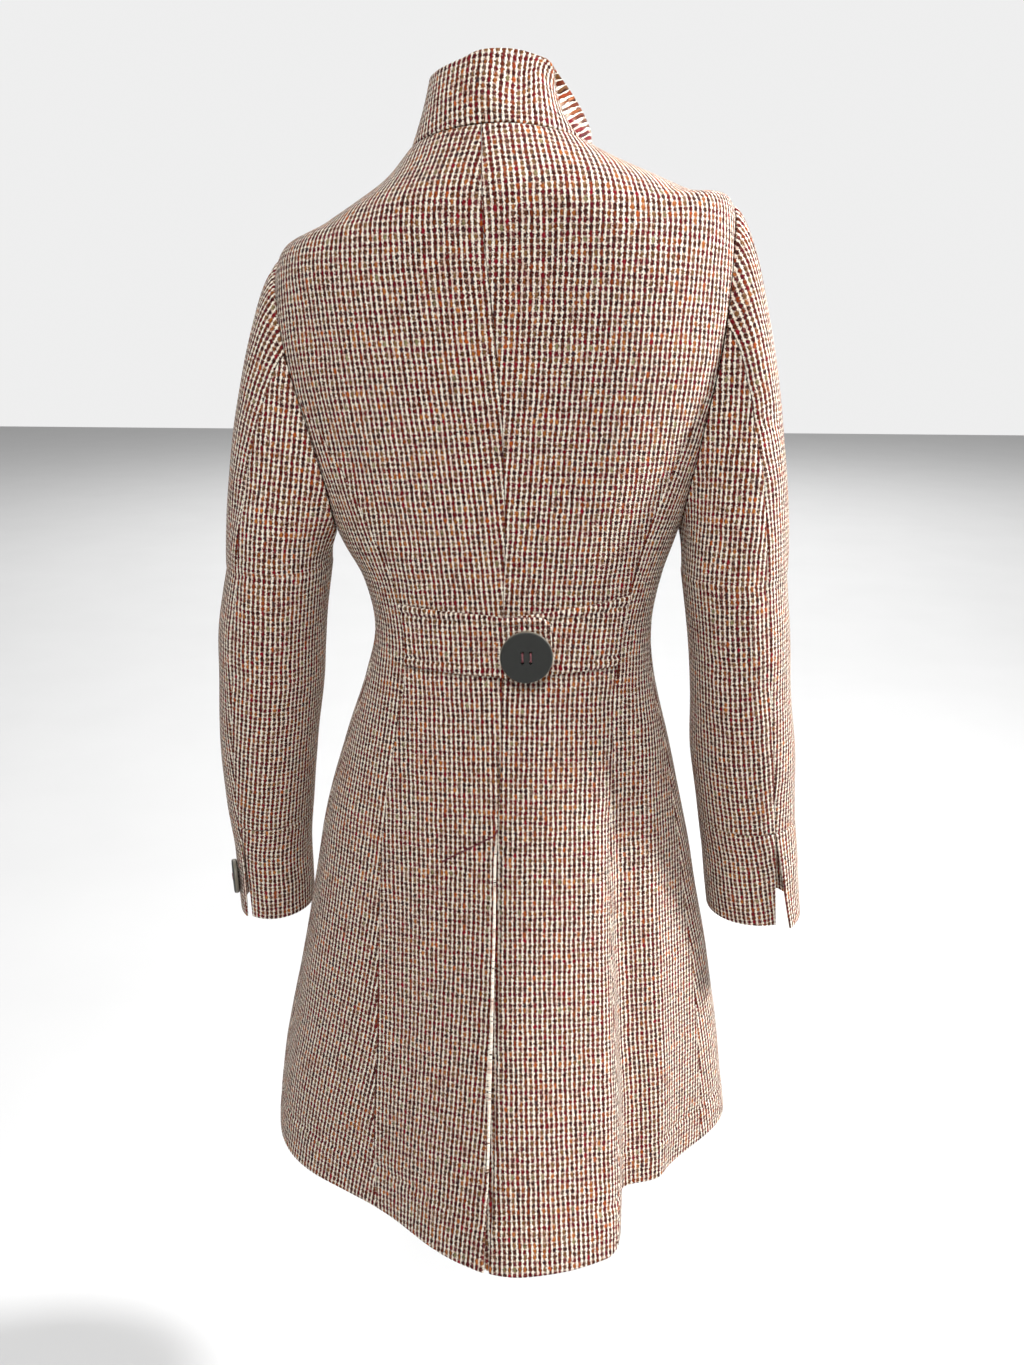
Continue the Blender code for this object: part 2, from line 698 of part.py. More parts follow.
def build_cuff(side, parts):
    """The cuff band with its slit at the back seam."""
    heights = evenly(CUFF_SEAM_Z[side] - SEAM_GAP, CUFF_END_Z[side], CUFF_ROWS)
    outer = [cuff_columns(side, z) for z in heights]
    inner = [[p - n * CLOTH for p, n in zip(row, cuff_normals(row))] for row in outer]
    wall(f"cuff_{SIDE_NAMES[side]}", outer, inner, TWEED, parts)


# Buttons

BUTTON_STEPS = 24
HOLE_SPACING = 0.0068
HOLE_SIZE = 0.0024


def button_profile(size, thick):
    """Half the section of a button: a flat face with a rounded rim."""
    r = size / 2
    return (
        (0.0, thick),
        (r * 0.94, thick),
        (r * 0.98, thick * 0.82),
        (r, thick * 0.50),
        (r * 0.97, thick * 0.12),
        (r * 0.90, 0.0),
        (0.0, 0.0),
    )


def build_button(name, size, seat, normal, parts, cutters):
    """A turned button with four holes, its back just clear of the cloth it is sewn to."""
    data = bpy.data.meshes.new(name)
    points = [(x, 0.0, z) for x, z in button_profile(size, BUTTON_THICK)]
    data.from_pydata(points, [(k, k + 1) for k in range(len(points) - 1)], [])
    data.materials.append(material(name, BUTTON_PLASTIC))
    button = bpy.data.objects.new(name, data)
    parts.objects.link(button)
    turn = button.modifiers.new("Turn", "SCREW")
    turn.steps = BUTTON_STEPS
    turn.render_steps = BUTTON_STEPS
    turn.use_merge_vertices = True
    turn.merge_threshold = 0.00001
    turn.use_smooth_shade = True

    drill = bmesh.new()
    scale = size / BIG_BUTTON
    for sx in (-1, 1):
        for sy in (-1, 1):
            place = Matrix.Translation((
                sx * HOLE_SPACING / 2 * scale,
                sy * HOLE_SPACING / 2 * 1.2 * scale,
                BUTTON_THICK / 2,
            ))
            bmesh.ops.create_cone(
                drill, cap_ends=True, segments=8, radius1=HOLE_SIZE / 2 * scale,
                radius2=HOLE_SIZE / 2 * scale, depth=BUTTON_THICK * 3, matrix=place)
    holes = bpy.data.meshes.new(f"{name}_holes")
    drill.to_mesh(holes)
    drill.free()
    cutter = bpy.data.objects.new(f"{name}_holes", holes)
    cutters.objects.link(cutter)
    cutter.hide_render = True
    cutter.display_type = "WIRE"
    cutter.parent = button
    cut = button.modifiers.new("Holes", "BOOLEAN")
    cut.operation = "DIFFERENCE"
    cut.object = cutter

    across = Vector((0.0, 0.0, 1.0)).cross(normal).normalized()
    up = normal.cross(across)
    facing = Matrix((across, up, normal)).transposed().to_4x4()
    button.matrix_world = Matrix.Translation(seat + normal * SEAM_GAP) @ facing


def button_seat(level, angle, lift):
    """Where a large button's back clears the form: its middle point and the way it faces."""
    middle, normal = spot(level, angle)
    wide = degrees_for(level, angle, BIG_BUTTON / 2)
    highest = 0.0
    for down in evenly(-0.6, 0.6, 12):
        for round_body in evenly(-wide, wide, 6):
            offset = form_point(level + down, angle + round_body) - middle
            if offset.length < BIG_BUTTON * 0.52:
                highest = max(highest, offset.dot(normal))
    return middle + normal * (lift + highest), normal


def build_buttons(belt_face, parts, cutters):
    """The belt's large button, the fastening buttons and one button on each cuff flap."""
    seat, normal = button_seat(BACK_BUTTON_LEVEL, BACK_BUTTON_ANGLE, belt_face)
    build_button("belt_button", BIG_BUTTON, seat, normal, parts, cutters)
    for k, height in enumerate(FRONT_BUTTON_Z):
        seat, normal = button_seat(level_at(180.0, height), -180.0, 0.0)
        build_button(f"front_button_{k + 1}", BIG_BUTTON, seat, normal, parts, cutters)
    for side in (1, -1):
        above = cuff_columns(side, CUFF_BUTTON_Z[side] + 0.01)
        points = cuff_columns(side, CUFF_BUTTON_Z[side])
        below = cuff_columns(side, CUFF_BUTTON_Z[side] - 0.01)
        first, share = CUFF_BUTTON_PLACE[side]
        seat = points[first].lerp(points[first + 1], share)
        along = points[first + 1] - points[first]
        normal = along.cross(below[first] - above[first]).normalized()
        if normal.x * side < 0:
            normal = -normal
        seat += normal * CUFF_BUTTON_LIFT
        build_button(f"cuff_button_{SIDE_NAMES[side]}", CUFF_BUTTON, seat, normal, parts, cutters)


def main():
    """Clears the scene and builds the coat."""
    for thing in list(bpy.data.objects):
        bpy.data.objects.remove(thing)
    parts = bpy.data.collections.new("high_collar_coat")
    cutters = bpy.data.collections.new("cutters")
    bpy.context.scene.collection.children.link(parts)
    bpy.context.scene.collection.children.link(cutters)
    build_back_left(parts)
    build_back_right(parts)
    build_front_right(parts)
    build_front_left(parts)
    for side in (1, -1):
        build_side_panels(side, parts)
        build_sleeve(side, parts)
        build_cuff(side, parts)
    build_collar(parts)
    belt_face = build_half_belt(parts)
    build_buttons(belt_face, parts, cutters)


main()
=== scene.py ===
"""The looks of a fitted, knee-length tweed coat with a stand collar, as it hangs on its wearer.

Every cut piece of the coat is a thin cloth shell over its own solid, laid flat in code to find its
pattern, and the weave runs along that pattern. Metres, +Z up; the wearer faces -Y.
"""

import logging
import math
from dataclasses import dataclass, field
from enum import Enum
from typing import NamedTuple, Sequence

import bmesh
import bpy
import numpy as np
from mathutils import Matrix, Vector

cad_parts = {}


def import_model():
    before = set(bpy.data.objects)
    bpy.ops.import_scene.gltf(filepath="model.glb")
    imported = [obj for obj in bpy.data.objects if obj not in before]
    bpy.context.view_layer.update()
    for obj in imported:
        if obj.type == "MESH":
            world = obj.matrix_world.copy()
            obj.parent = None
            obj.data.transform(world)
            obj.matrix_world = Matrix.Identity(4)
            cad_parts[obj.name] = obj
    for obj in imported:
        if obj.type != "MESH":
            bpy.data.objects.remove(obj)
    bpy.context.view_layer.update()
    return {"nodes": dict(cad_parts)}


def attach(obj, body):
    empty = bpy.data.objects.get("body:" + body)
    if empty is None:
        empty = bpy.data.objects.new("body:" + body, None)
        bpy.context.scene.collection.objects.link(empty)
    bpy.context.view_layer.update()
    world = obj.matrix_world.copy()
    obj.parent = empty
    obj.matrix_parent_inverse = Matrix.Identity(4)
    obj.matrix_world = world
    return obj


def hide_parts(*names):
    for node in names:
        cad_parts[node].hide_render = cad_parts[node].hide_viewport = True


LOG = logging.getLogger("coat")
Array = np.ndarray
Pair = tuple[float, float]
Triple = tuple[float, float, float]
Colour = Triple
Stops = tuple[tuple[float, Colour], ...]

# Metres, except BELT_TOP and BELT_FOOT, which are levels of the body's rings. A button further out
# than CUFF_X is on a cuff. INSIDE_SHIFT moves the weave of a shell's inner face.
CLOTH = 0.0022
COLLAR_CLOTH = 0.0032
BELT_CLOTH = 0.0030
SEAM_GAP = 0.0004
ARMHOLE_GAP = 0.0005
LAP_GAP = 0.0008
FRONT_LAP = 0.030
BELT_TOP = 7.4
BELT_FOOT = 8.6
BIG_BUTTON = 0.044
CUFF_BUTTON = 0.034
CUFF_X = 0.18
BUTTON_THICK = 0.0048
RIPPLE = 0.00045
INSIDE_SHIFT = (0.011, 0.007)


class Side(Enum):
    """The wearer's sides, with the sign of their X."""

    LEFT = 1
    RIGHT = -1

    @property
    def word(self) -> str:
        """The side's name, as the nodes spell it."""
        return self.name.lower()


class Edge(Enum):
    """How a cut edge is finished: how far in it rolls, and over what depth."""

    SEAM = (0.0022, 0.0009)
    FOLD = (0.0016, 0.0010)


class Ring(NamedTuple):
    """One level ring of the body: heights, half sizes, middle, lean, turn in degrees and fullness."""

    place: str
    back_z: float
    side_z: float
    front_z: float
    left: float
    right: float
    back: float
    front: float
    middle_x: float
    middle_y: float
    lean: float
    turn: float
    fullness: float


RINGS = (
    Ring("neck", 0.000, -0.010, -0.075, 0.0695, 0.069, 0.059, 0.065, 0.005, 0.030, -0.02, 8, 0.00),
    Ring("neck base", -0.022, -0.030, -0.092, 0.096, 0.101, 0.079, 0.081, 0.004, 0.026, -0.066, 5, 0.00),
    Ring(
        "mid shoulder", -0.052, -0.0515, -0.118, 0.142, 0.141, 0.099, 0.105, 0.003, 0.020, -0.081, 3, 0.02),
    Ring(
        "shoulder tip", -0.095, -0.069, -0.150, 0.1835, 0.1790, 0.100, 0.119, 0.004, 0.014, -0.106, 1, 0.05),
    Ring(
        "shoulder blades", -0.165, -0.150, -0.205, 0.191, 0.187, 0.096, 0.133, 0.004, 0.008, -0.06, -2, 0.08),
    Ring("chest", -0.235, -0.235, -0.255, 0.173, 0.173, 0.090, 0.142, 0.005, 0.004, -0.040, -4, 0.08),
    Ring("underarm", -0.305, -0.311, -0.315, 0.148, 0.149, 0.088, 0.128, 0.005, 0.0, -0.012, -5, 0.06),
    Ring("high waist", -0.350, -0.350, -0.350, 0.126, 0.138, 0.085, 0.108, 0.006, 0.0, -0.020, -5, 0.05),
    Ring("waist", -0.395, -0.395, -0.395, 0.117, 0.131, 0.083, 0.098, 0.0066, 0.0, -0.020, -5, 0.05),
    Ring("low waist", -0.440, -0.440, -0.440, 0.128, 0.133, 0.086, 0.104, 0.005, 0.0, -0.020, -4, 0.04),
    Ring("high hip", -0.505, -0.505, -0.505, 0.153, 0.146, 0.093, 0.118, 0.002, 0.0, -0.010, -2, 0.03),
    Ring("hip", -0.575, -0.575, -0.575, 0.176, 0.160, 0.107, 0.132, 0.0, 0.0, 0.0, 0, 0.02),
    Ring("thigh", -0.660, -0.660, -0.660, 0.1915, 0.176, 0.130, 0.150, 0.0, 0.0, 0.0, 1, 0.01),
    Ring("low thigh", -0.750, -0.750, -0.750, 0.209, 0.192, 0.162, 0.170, 0.0, 0.0, 0.0, 1, 0.00),
    Ring("above hem", -0.840, -0.840, -0.840, 0.2265, 0.205, 0.202, 0.190, 0.001, 0.0, 0.0, 0.5, 0.00),
    Ring("hem", -0.905, -0.905, -0.905, 0.2325, 0.212, 0.234, 0.204, 0.002, 0.0, 0.0, 0.5, 0.00),
)
HEM_LEVEL = len(RINGS) - 1


class Flare(NamedTuple):
    """A soft flare fold of the skirt: where it lies, its spread and its depth at the hem."""

    place: str
    angle: float
    spread: float
    depth: float
    first_level: float
    power: float


FLARES = (
    Flare("right back valley", -45, 16, -0.040, 8.6, 1.1),
    Flare("right side hollow", -62, 30, -0.036, 9.5, 1.3),
    Flare("left back valley", 32, 42, -0.038, 10.0, 1.4),
    Flare("left front valley", 128, 24, -0.024, 10.0, 1.5),
    Flare("right front valley", -126, 26, -0.028, 10.0, 1.5),
    Flare("left side swell", 96, 24, 0.008, 10.0, 1.5),
    Flare("right side swell", -98, 24, 0.007, 10.0, 1.5),
)


class Crease(NamedTuple):
    """A soft trough (below zero) or ridge (above) of the cloth, between two places of a form."""

    row: float
    column: float
    end_row: float
    end_column: float
    width: float
    depth: float


BODY_CREASES = (
    Crease(10.90, -0.8, 11.40, 17.8, 0.0026, -0.0020),
    Crease(4.3, 58.0, 6.4, 34.0, 0.014, -0.0022),
    Crease(5.3, 50.0, 7.1, 30.0, 0.012, 0.0016),
    Crease(4.5, -60.0, 6.6, -36.0, 0.013, -0.0020),
    Crease(5.6, -48.0, 7.0, -26.0, 0.011, 0.0014),
    Crease(6.6, 40.0, 7.3, 8.0, 0.010, -0.0012),
    Crease(6.8, -40.0, 7.3, -12.0, 0.009, -0.0010),
    Crease(8.8, 40.0, 9.7, 10.0, 0.012, -0.0013),
    Crease(8.8, -38.0, 9.6, -14.0, 0.012, -0.0012),
    Crease(3.2, 60.0, 4.2, 40.0, 0.016, -0.0018),
    Crease(3.3, -62.0, 4.3, -44.0, 0.016, -0.0016),
    Crease(4.6, 122.0, 6.5, 146.0, 0.016, -0.0022),
    Crease(4.7, -120.0, 6.4, -146.0, 0.015, -0.0022),
    Crease(8.7, 130.0, 9.6, 160.0, 0.013, -0.0016),
    Crease(8.8, -132.0, 9.7, -158.0, 0.012, -0.0014),
)


class Armhole(NamedTuple):
    """Where the armhole crosses a level, in degrees from the centre back."""

    level: float
    back: float
    front: float


ARMHOLES = (
    Armhole(3.0, 90.0, 90.0),
    Armhole(3.3, 77.0, 101.0),
    Armhole(3.6, 71.0, 108.0),
    Armhole(4.0, 67.0, 113.0),
    Armhole(4.4, 65.0, 115.5),
    Armhole(4.8, 64.5, 116.0),
    Armhole(5.2, 66.0, 114.0),
    Armhole(5.5, 69.0, 111.0),
    Armhole(5.8, 76.0, 102.0),
    Armhole(6.0, 86.0, 86.0),
)


class Seams(NamedTuple):
    """Where the long seams cross a level, in degrees from the centre back."""

    level: float
    back: float
    side: float
    front: float


SEAMS = (
    Seams(4.4, 64.6, 86.0, 115.9),
    Seams(4.8, 57.0, 86.0, 122.0),
    Seams(5.2, 52.5, 86.0, 126.0),
    Seams(5.5, 50.2, 86.0, 128.0),
    Seams(6.0, 48.0, 86.0, 131.0),
    Seams(7.0, 47.5, 82.0, 134.0),
    Seams(8.0, 46.0, 79.0, 136.0),
    Seams(9.0, 44.0, 78.0, 137.0),
    Seams(10.0, 41.0, 78.0, 138.0),
    Seams(11.0, 39.0, 78.0, 139.0),
    Seams(12.0, 37.5, 78.0, 140.0),
    Seams(13.0, 36.0, 78.0, 140.5),
    Seams(14.0, 34.5, 78.0, 141.0),
    Seams(15.0, 33.0, 78.0, 141.5),
)


class Centre(NamedTuple):
    """Where the centre back seam crosses a level."""

    level: float
    angle: float


CENTRES = (
    Centre(0.0, 0.0),
    Centre(3.0, 0.4),
    Centre(4.0, 1.4),
    Centre(5.0, 2.0),
    Centre(6.0, 2.4),
    Centre(8.0, 2.4),
    Centre(10.0, 2.0),
    Centre(11.0, 1.2),
    Centre(12.0, 0.0),
    Centre(15.0, 0.0),
)
SHOULDER_LEVEL = 3.0
JOIN_LEVEL = 4.4
UNDERARM_LEVEL = 6.0


@dataclass(frozen=True)
class Vent:
    """The centre back vent, where the left back's flap lies over the right back's underlay.

    Lengths are in metres, and shares are of a back's width. The underlay bends at its shares, dips
    under the flap and has a trough beside the flap's edge; a cream cord runs along that edge.
    """

    top_z: float = -0.560
    slant: float = 0.040
    lap: float = 0.044
    dip_run: float = 0.030
    bend: float = 0.007
    fold: float = 0.0010
    shares: tuple[float, ...] = (0.0, 0.66, 0.84, 1.0)
    dip_shares: Pair = (0.70, 0.80)
    trough: float = 0.0026
    trough_heights: Pair = (0.004, -0.016)
    trough_start: Pair = (0.72, 0.80)
    trough_end: Pair = (0.86, 0.93)
    cord_share: float = 0.02
    cord_drop: float = 0.008
    cord_foot_z: float = -0.83
    flap_lift: float = 0.0016
    flap_share: float = 1 / 13


@dataclass(frozen=True)
class Hem:
    """The pressed line above the turned-up hem, and the fuller cloth below it, in metres."""

    line_z: float = -0.868
    depth: float = 0.0010
    width: float = 0.0026
    fuller: float = 0.0005
    fuller_heights: Pair = (-0.864, -0.874)


@dataclass(frozen=True)
class Lap:
    """The left front's underlap, which bends a little before the right front's edge covers it."""

    bend: float = 0.010
    shares: tuple[float, ...] = (0.0, 0.70, 0.78, 1.0)
    dip_shares: Pair = (0.70, 0.775)


VENT, HEM, LAP = Vent(), Hem(), Lap()


class Section(NamedTuple):
    """A level section of the arm."""

    z: float
    middle_x: float
    middle_y: float
    across: float
    deep: float


SLEEVES = {
    Side.LEFT: (
        Section(-0.345, 0.2085, 0.000, 0.0455, 0.062),
        Section(-0.400, 0.2195, -0.002, 0.0475, 0.061),
        Section(-0.457, 0.2255, -0.006, 0.0475, 0.058),
        Section(-0.517, 0.2335, -0.012, 0.0455, 0.054),
        Section(-0.585, 0.2395, -0.020, 0.0415, 0.049),
        Section(-0.630, 0.2410, -0.026, 0.0372, 0.046),
        Section(-0.670, 0.2418, -0.030, 0.0367, 0.0455),
        Section(-0.705, 0.2425, -0.033, 0.0360, 0.045),
    ),
    Side.RIGHT: (
        Section(-0.345, -0.1935, 0.000, 0.0455, 0.062),
        Section(-0.404, -0.2015, -0.002, 0.0445, 0.060),
        Section(-0.460, -0.2070, -0.006, 0.0450, 0.057),
        Section(-0.517, -0.2130, -0.012, 0.0475, 0.054),
        Section(-0.575, -0.2200, -0.018, 0.0455, 0.050),
        Section(-0.620, -0.2265, -0.024, 0.0450, 0.048),
        Section(-0.660, -0.2310, -0.028, 0.0450, 0.0465),
        Section(-0.705, -0.2370, -0.032, 0.0440, 0.046),
    ),
}
SLEEVE_SIDES = 18
BACK_SEAM_SIDE = 3.0
FRONT_SEAM_SIDE = 12.0
CUFF_SEAM_Z = {Side.LEFT: -0.600, Side.RIGHT: -0.584}
CUFF_END_Z = {Side.LEFT: -0.702, Side.RIGHT: -0.684}
CUFF_FLARE = {Side.LEFT: 0.004, Side.RIGHT: 0.011}
SLIT_WIDTH = {Side.LEFT: 0.004, Side.RIGHT: 0.008}

SLEEVE_CREASES = {
    Side.LEFT: (
        Crease(0.35, 5.0, 0.95, 1.5, 0.010, -0.0022),
        Crease(0.55, 6.5, 1.10, 3.4, 0.009, 0.0016),
        Crease(1.30, 7.0, 1.42, 2.6, 0.010, -0.0018),
        Crease(1.48, 7.5, 1.55, 3.4, 0.009, -0.0014),
        Crease(0.40, 14.0, 0.95, 17.5, 0.011, -0.0022),
        Crease(1.34, 10.0, 1.46, 14.5, 0.010, -0.0022),
    ),
    Side.RIGHT: (
        Crease(0.30, 4.8, 0.62, 1.2, 0.008, -0.0030),
        Crease(0.42, 5.2, 0.75, 2.0, 0.008, 0.0020),
        Crease(0.34, 1.6, 0.04, 4.2, 0.009, 0.0026),
        Crease(0.42, 2.0, 0.10, 4.6, 0.007, -0.0030),
        Crease(0.60, 6.3, 1.08, 3.0, 0.010, -0.0018),
        Crease(1.28, 7.2, 1.40, 2.4, 0.010, -0.0018),
        Crease(1.46, 7.0, 1.55, 3.2, 0.009, 0.0014),
        Crease(0.42, 14.0, 0.90, 17.3, 0.011, -0.0020),
        Crease(1.32, 10.4, 1.45, 14.2, 0.010, -0.0022),
    ),
}


class Band(NamedTuple):
    """The stand collar at an angle: its crease and its top edge."""

    angle: float
    crease_x: float
    crease_y: float
    crease_z: float
    top_x: float
    top_y: float
    top_z: float


COLLAR = (
    Band(-166, -0.029, -0.046, -0.052, -0.038, -0.066, -0.026),
    Band(-145, -0.052, -0.028, -0.032, -0.056, -0.054, -0.010),
    Band(-125, -0.062, -0.006, -0.014, -0.062, -0.034, 0.004),
    Band(-105, -0.062, 0.010, 0.001, -0.059, -0.012, 0.014),
    Band(-85, -0.053, 0.033, 0.004, -0.051, 0.011, 0.026),
    Band(-65, -0.039, 0.047, 0.018, -0.042, 0.036, 0.035),
    Band(-45, -0.027, 0.061, 0.032, -0.030, 0.055, 0.045),
    Band(-25, -0.011, 0.073, 0.025, -0.010, 0.064, 0.051),
    Band(0, 0.014, 0.080, 0.024, 0.014, 0.068, 0.051),
    Band(30, 0.037, 0.074, 0.020, 0.031, 0.064, 0.046),
    Band(60, 0.058, 0.054, 0.016, 0.052, 0.048, 0.041),
    Band(90, 0.067, 0.026, 0.012, 0.062, 0.022, 0.037),
    Band(120, 0.061, -0.008, -0.008, 0.058, -0.010, 0.020),
    Band(145, 0.042, -0.032, -0.033, 0.044, -0.035, -0.004),
    Band(166, 0.020, -0.045, -0.045, 0.027, -0.052, -0.018),
)


def bent(start: Array, leave: Array, end: Array, arrive: Array, t: Array) -> Array:
    """Reads a cubic between two values with a given slope at each.

    Args:
        start: The value at 0.
        leave: The slope there.
        end: The value at 1.
        arrive: The slope there.
        t: The share of the way, from 0 to 1.

    Returns:
        The values at that share.
    """
    return (
        start * (2 * t**3 - 3 * t**2 + 1)
        + leave * (t**3 - 2 * t**2 + t)
        + end * (3 * t**2 - 2 * t**3)
        + arrive * (t**3 - t**2)
    )


def smooth(values: Sequence, places: Sequence, place: Array | float) -> Array:
    """Reads a smooth curve through values that stand at rising places.

    Args:
        values: One number, or one row of numbers, for each place.
        places: The rising places.
        place: Where to read the curve.

    Returns:
        The curve's values there.
    """
    known = np.asarray(values, float)
    stations = np.asarray(places, float)
    where = np.asarray(place, float)
    wide = (slice(None),) + (None,) * (known.ndim - 1)
    slopes = np.empty_like(known)
    slopes[1:-1] = (known[2:] - known[:-2]) / (stations[2:] - stations[:-2])[wide]
    slopes[0] = (known[1] - known[0]) / (stations[1] - stations[0])
    slopes[-1] = (known[-1] - known[-2]) / (stations[-1] - stations[-2])
    i = np.clip(np.searchsorted(stations, where, side="right") - 1, 0, len(stations) - 2)
    span = stations[i + 1] - stations[i]
    t = (where - stations[i]) / span
    for _ in range(known.ndim - 1):
        t, span = t[..., None], span[..., None]
    return bent(known[i], slopes[i] * span, known[i + 1], slopes[i + 1] * span, t)


def read(rows: Sequence[NamedTuple], key: str, column: str, place: Array | float) -> Array:
    """Reads a named column of a table at any place along its key column."""
    return smooth([getattr(row, column) for row in rows], [getattr(row, key) for row in rows], place)


def step(low: float, high: float, value: Array | float) -> Array:
    """0 below low, 1 above high and a soft rise between them."""
    t = np.clip((np.asarray(value, float) - low) / (high - low), 0.0, 1.0)
    return t * t * (3 - 2 * t)


def legs(share: Array, shares: Sequence[float], angles: Sequence[Array]) -> Array:
    """Goes from angle to angle in straight legs.

    Args:
        share: Where to read, as a share of a width.
        shares: The rising shares at which the legs meet.
        angles: The angle at each of them.

    Returns:
        The angles at that share.
    """
    angle = np.zeros(np.shape(share))
    for k in range(len(shares) - 1):
        part = np.clip((share - shares[k]) / (shares[k + 1] - shares[k]), 0.0, 1.0)
        leg = angles[k] + (angles[k + 1] - angles[k]) * part
        angle = np.where(share < shares[k], angle, leg)
    return angle


def bell(away: Array, width: float) -> Array:
    """1 on a line, falling softly to 0 beyond a width on both sides."""
    return np.exp(-((away / width) ** 2))


def unit(vectors: Array) -> Array:
    """The directions of vectors."""
    return vectors / np.maximum(np.linalg.norm(vectors, axis=-1, keepdims=True), 1e-12)


def stack(x: Array, y: Array, z: Array) -> Array:
    """Points from their three coordinates."""
    return np.stack(np.broadcast_arrays(x, y, z), axis=-1).astype(float)


def linked(name: str, data: bpy.types.ID) -> bpy.types.Object:
    """A new object of a mesh, light or camera, in the scene."""
    made = bpy.data.objects.new(name, data)
    bpy.context.scene.collection.objects.link(made)
    return made


def finished(name: str, mesh: bmesh.types.BMesh) -> bpy.types.Mesh:
    """Ends the work on a mesh.

    Args:
        name: The name of its data.
        mesh: The worked mesh, which is freed.

    Returns:
        The mesh data.
    """
    data = bpy.data.meshes.new(name)
    mesh.to_mesh(data)
    mesh.free()
    return data


# Finishes


class Wire:
    """A value on its way through a finish's nodes, with ordinary arithmetic."""

    def __init__(self, bench: "Bench", socket: bpy.types.NodeSocket) -> None:
        """Wraps a socket."""
        self.bench = bench
        self.socket = socket

    def maths(self, operation: str, *others: "Wire | float") -> "Wire":
        """One Math node on this value and others."""
        return self.bench.add("ShaderNodeMath", {"operation": operation}, dict(enumerate((self, *others))))

    def __add__(self, other: "Wire | float") -> "Wire":
        """Sum."""
        return self.maths("ADD", other)

    def __radd__(self, other: float) -> "Wire":
        """Sum, reflected."""
        return self.maths("ADD", other)

    def __sub__(self, other: "Wire | float") -> "Wire":
        """Difference."""
        return self.maths("SUBTRACT", other)

    def __rsub__(self, other: float) -> "Wire":
        """Difference, reflected."""
        return self.maths("MULTIPLY_ADD", -1.0, other)

    def __mul__(self, other: "Wire | float") -> "Wire":
        """Product."""
        return self.maths("MULTIPLY", other)

    def __rmul__(self, other: float) -> "Wire":
        """Product, reflected."""
        return self.maths("MULTIPLY", other)

    def __truediv__(self, other: "Wire | float") -> "Wire":
        """Quotient."""
        return self.maths("DIVIDE", other)

    def floor(self) -> "Wire":
        """The whole part."""
        return self.maths("FLOOR")

    def ease(self, low: float, high: float) -> "Wire":
        """0 below low, 1 above high and a soft rise between them."""
        settings = {"interpolation_type": "SMOOTHSTEP"}
        return self.bench.add("ShaderNodeMapRange", settings, {0: self, 1: low, 2: high, 3: 0.0, 4: 1.0})


class Bench:
    """Where the nodes of one finish, or of the surrounding light, are laid out and wired."""

    def __init__(self, made: bpy.types.Material | bpy.types.World) -> None:
        """Empties the tree of a new material or world."""
        self.made = made
        self.made.use_nodes = True
        self.tree = self.made.node_tree
        self.tree.nodes.clear()

    def node(self, kind: str, settings: dict, values: dict) -> bpy.types.Node:
        """Adds a node.

        Args:
            kind: The node's type.
            settings: Its own settings, set before its sockets.
            values: Values or wires, by socket number or name.

        Returns:
            The node.
        """
        node = self.tree.nodes.new(kind)
        for key, value in settings.items():
            setattr(node, key, value)
        for key, value in values.items():
            if isinstance(value, Wire):
                self.tree.links.new(value.socket, node.inputs[key])
            else:
                node.inputs[key].default_value = value
        return node

    def add(self, kind: str, settings: dict, values: dict, output: int | str = 0) -> Wire:
        """Adds a node and gives the wire from one of its sockets."""
        return Wire(self, self.node(kind, settings, values).outputs[output])

    def pair(self, x: Wire, y: Wire) -> Wire:
        """A vector from two values."""
        return self.add("ShaderNodeCombineXYZ", {}, {0: x, 1: y, 2: 0.0})

    def part(self, vector: Wire, axis: int) -> Wire:
        """One coordinate of a vector: 0, 1 or 2 for x, y or z."""
        return self.add("ShaderNodeSeparateXYZ", {}, {0: vector}, axis)

    def chance(self, where: Wire) -> Wire:
        """An even chance from 0 to 1 for each whole place."""
        return self.add("ShaderNodeTexWhiteNoise", {"noise_dimensions": "3D"}, {"Vector": where}, "Value")

    def cloud(self, where: Wire, scale: float, detail: float = 2.0) -> Wire:
        """Soft noise about 0.5 over the flat cloth."""
        values = {"Vector": where, "Scale": scale, "Detail": detail, "Roughness": 0.55}
        return self.add("ShaderNodeTexNoise", {"noise_dimensions": "2D"}, values, "Fac")

    def ramp(self, value: Wire, stops: Stops) -> Wire:
        """The colour of the last stop at or below a value.

        Args:
            value: A value from 0 to 1.
            stops: Rising places, each with its colour.

        Returns:
            The colour.
        """
        node = self.node("ShaderNodeValToRGB", {}, {0: value})
        node.color_ramp.interpolation = "CONSTANT"
        bar = node.color_ramp.elements
        bar[0].position, bar[0].color = stops[0][0], (*stops[0][1], 1.0)
        bar[1].position, bar[1].color = stops[-1][0], (*stops[-1][1], 1.0)
        for position, colour in stops[1:-1]:
            bar.new(position).color = (*colour, 1.0)
        return Wire(self, node.outputs[0])

    def blend(self, share: Wire | float, a: Wire | Colour, b: Wire | Colour, how: str = "MIX") -> Wire:
        """Mixes two colours."""
        colours = [value if isinstance(value, Wire) else (*value, 1.0) for value in (a, b)]
        values = {0: share, 6: colours[0], 7: colours[1]}
        return self.add("ShaderNodeMix", {"data_type": "RGBA", "blend_type": how}, values, 2)

    def bump(self, height: Wire, strength: float, distance: float) -> Wire:
        """Directions that a height gives the surface; the distance is in metres."""
        values = {"Strength": strength, "Distance": distance, "Height": height}
        return self.add("ShaderNodeBump", {}, values)

    def shader(self, values: dict[str, Wire | float | tuple]) -> bpy.types.Material:
        """Ends in one Principled surface with these values or wires, and gives the material."""
        surface = self.add("ShaderNodeBsdfPrincipled", {}, values)
        self.node("ShaderNodeOutputMaterial", {}, {0: surface})
        return self.made


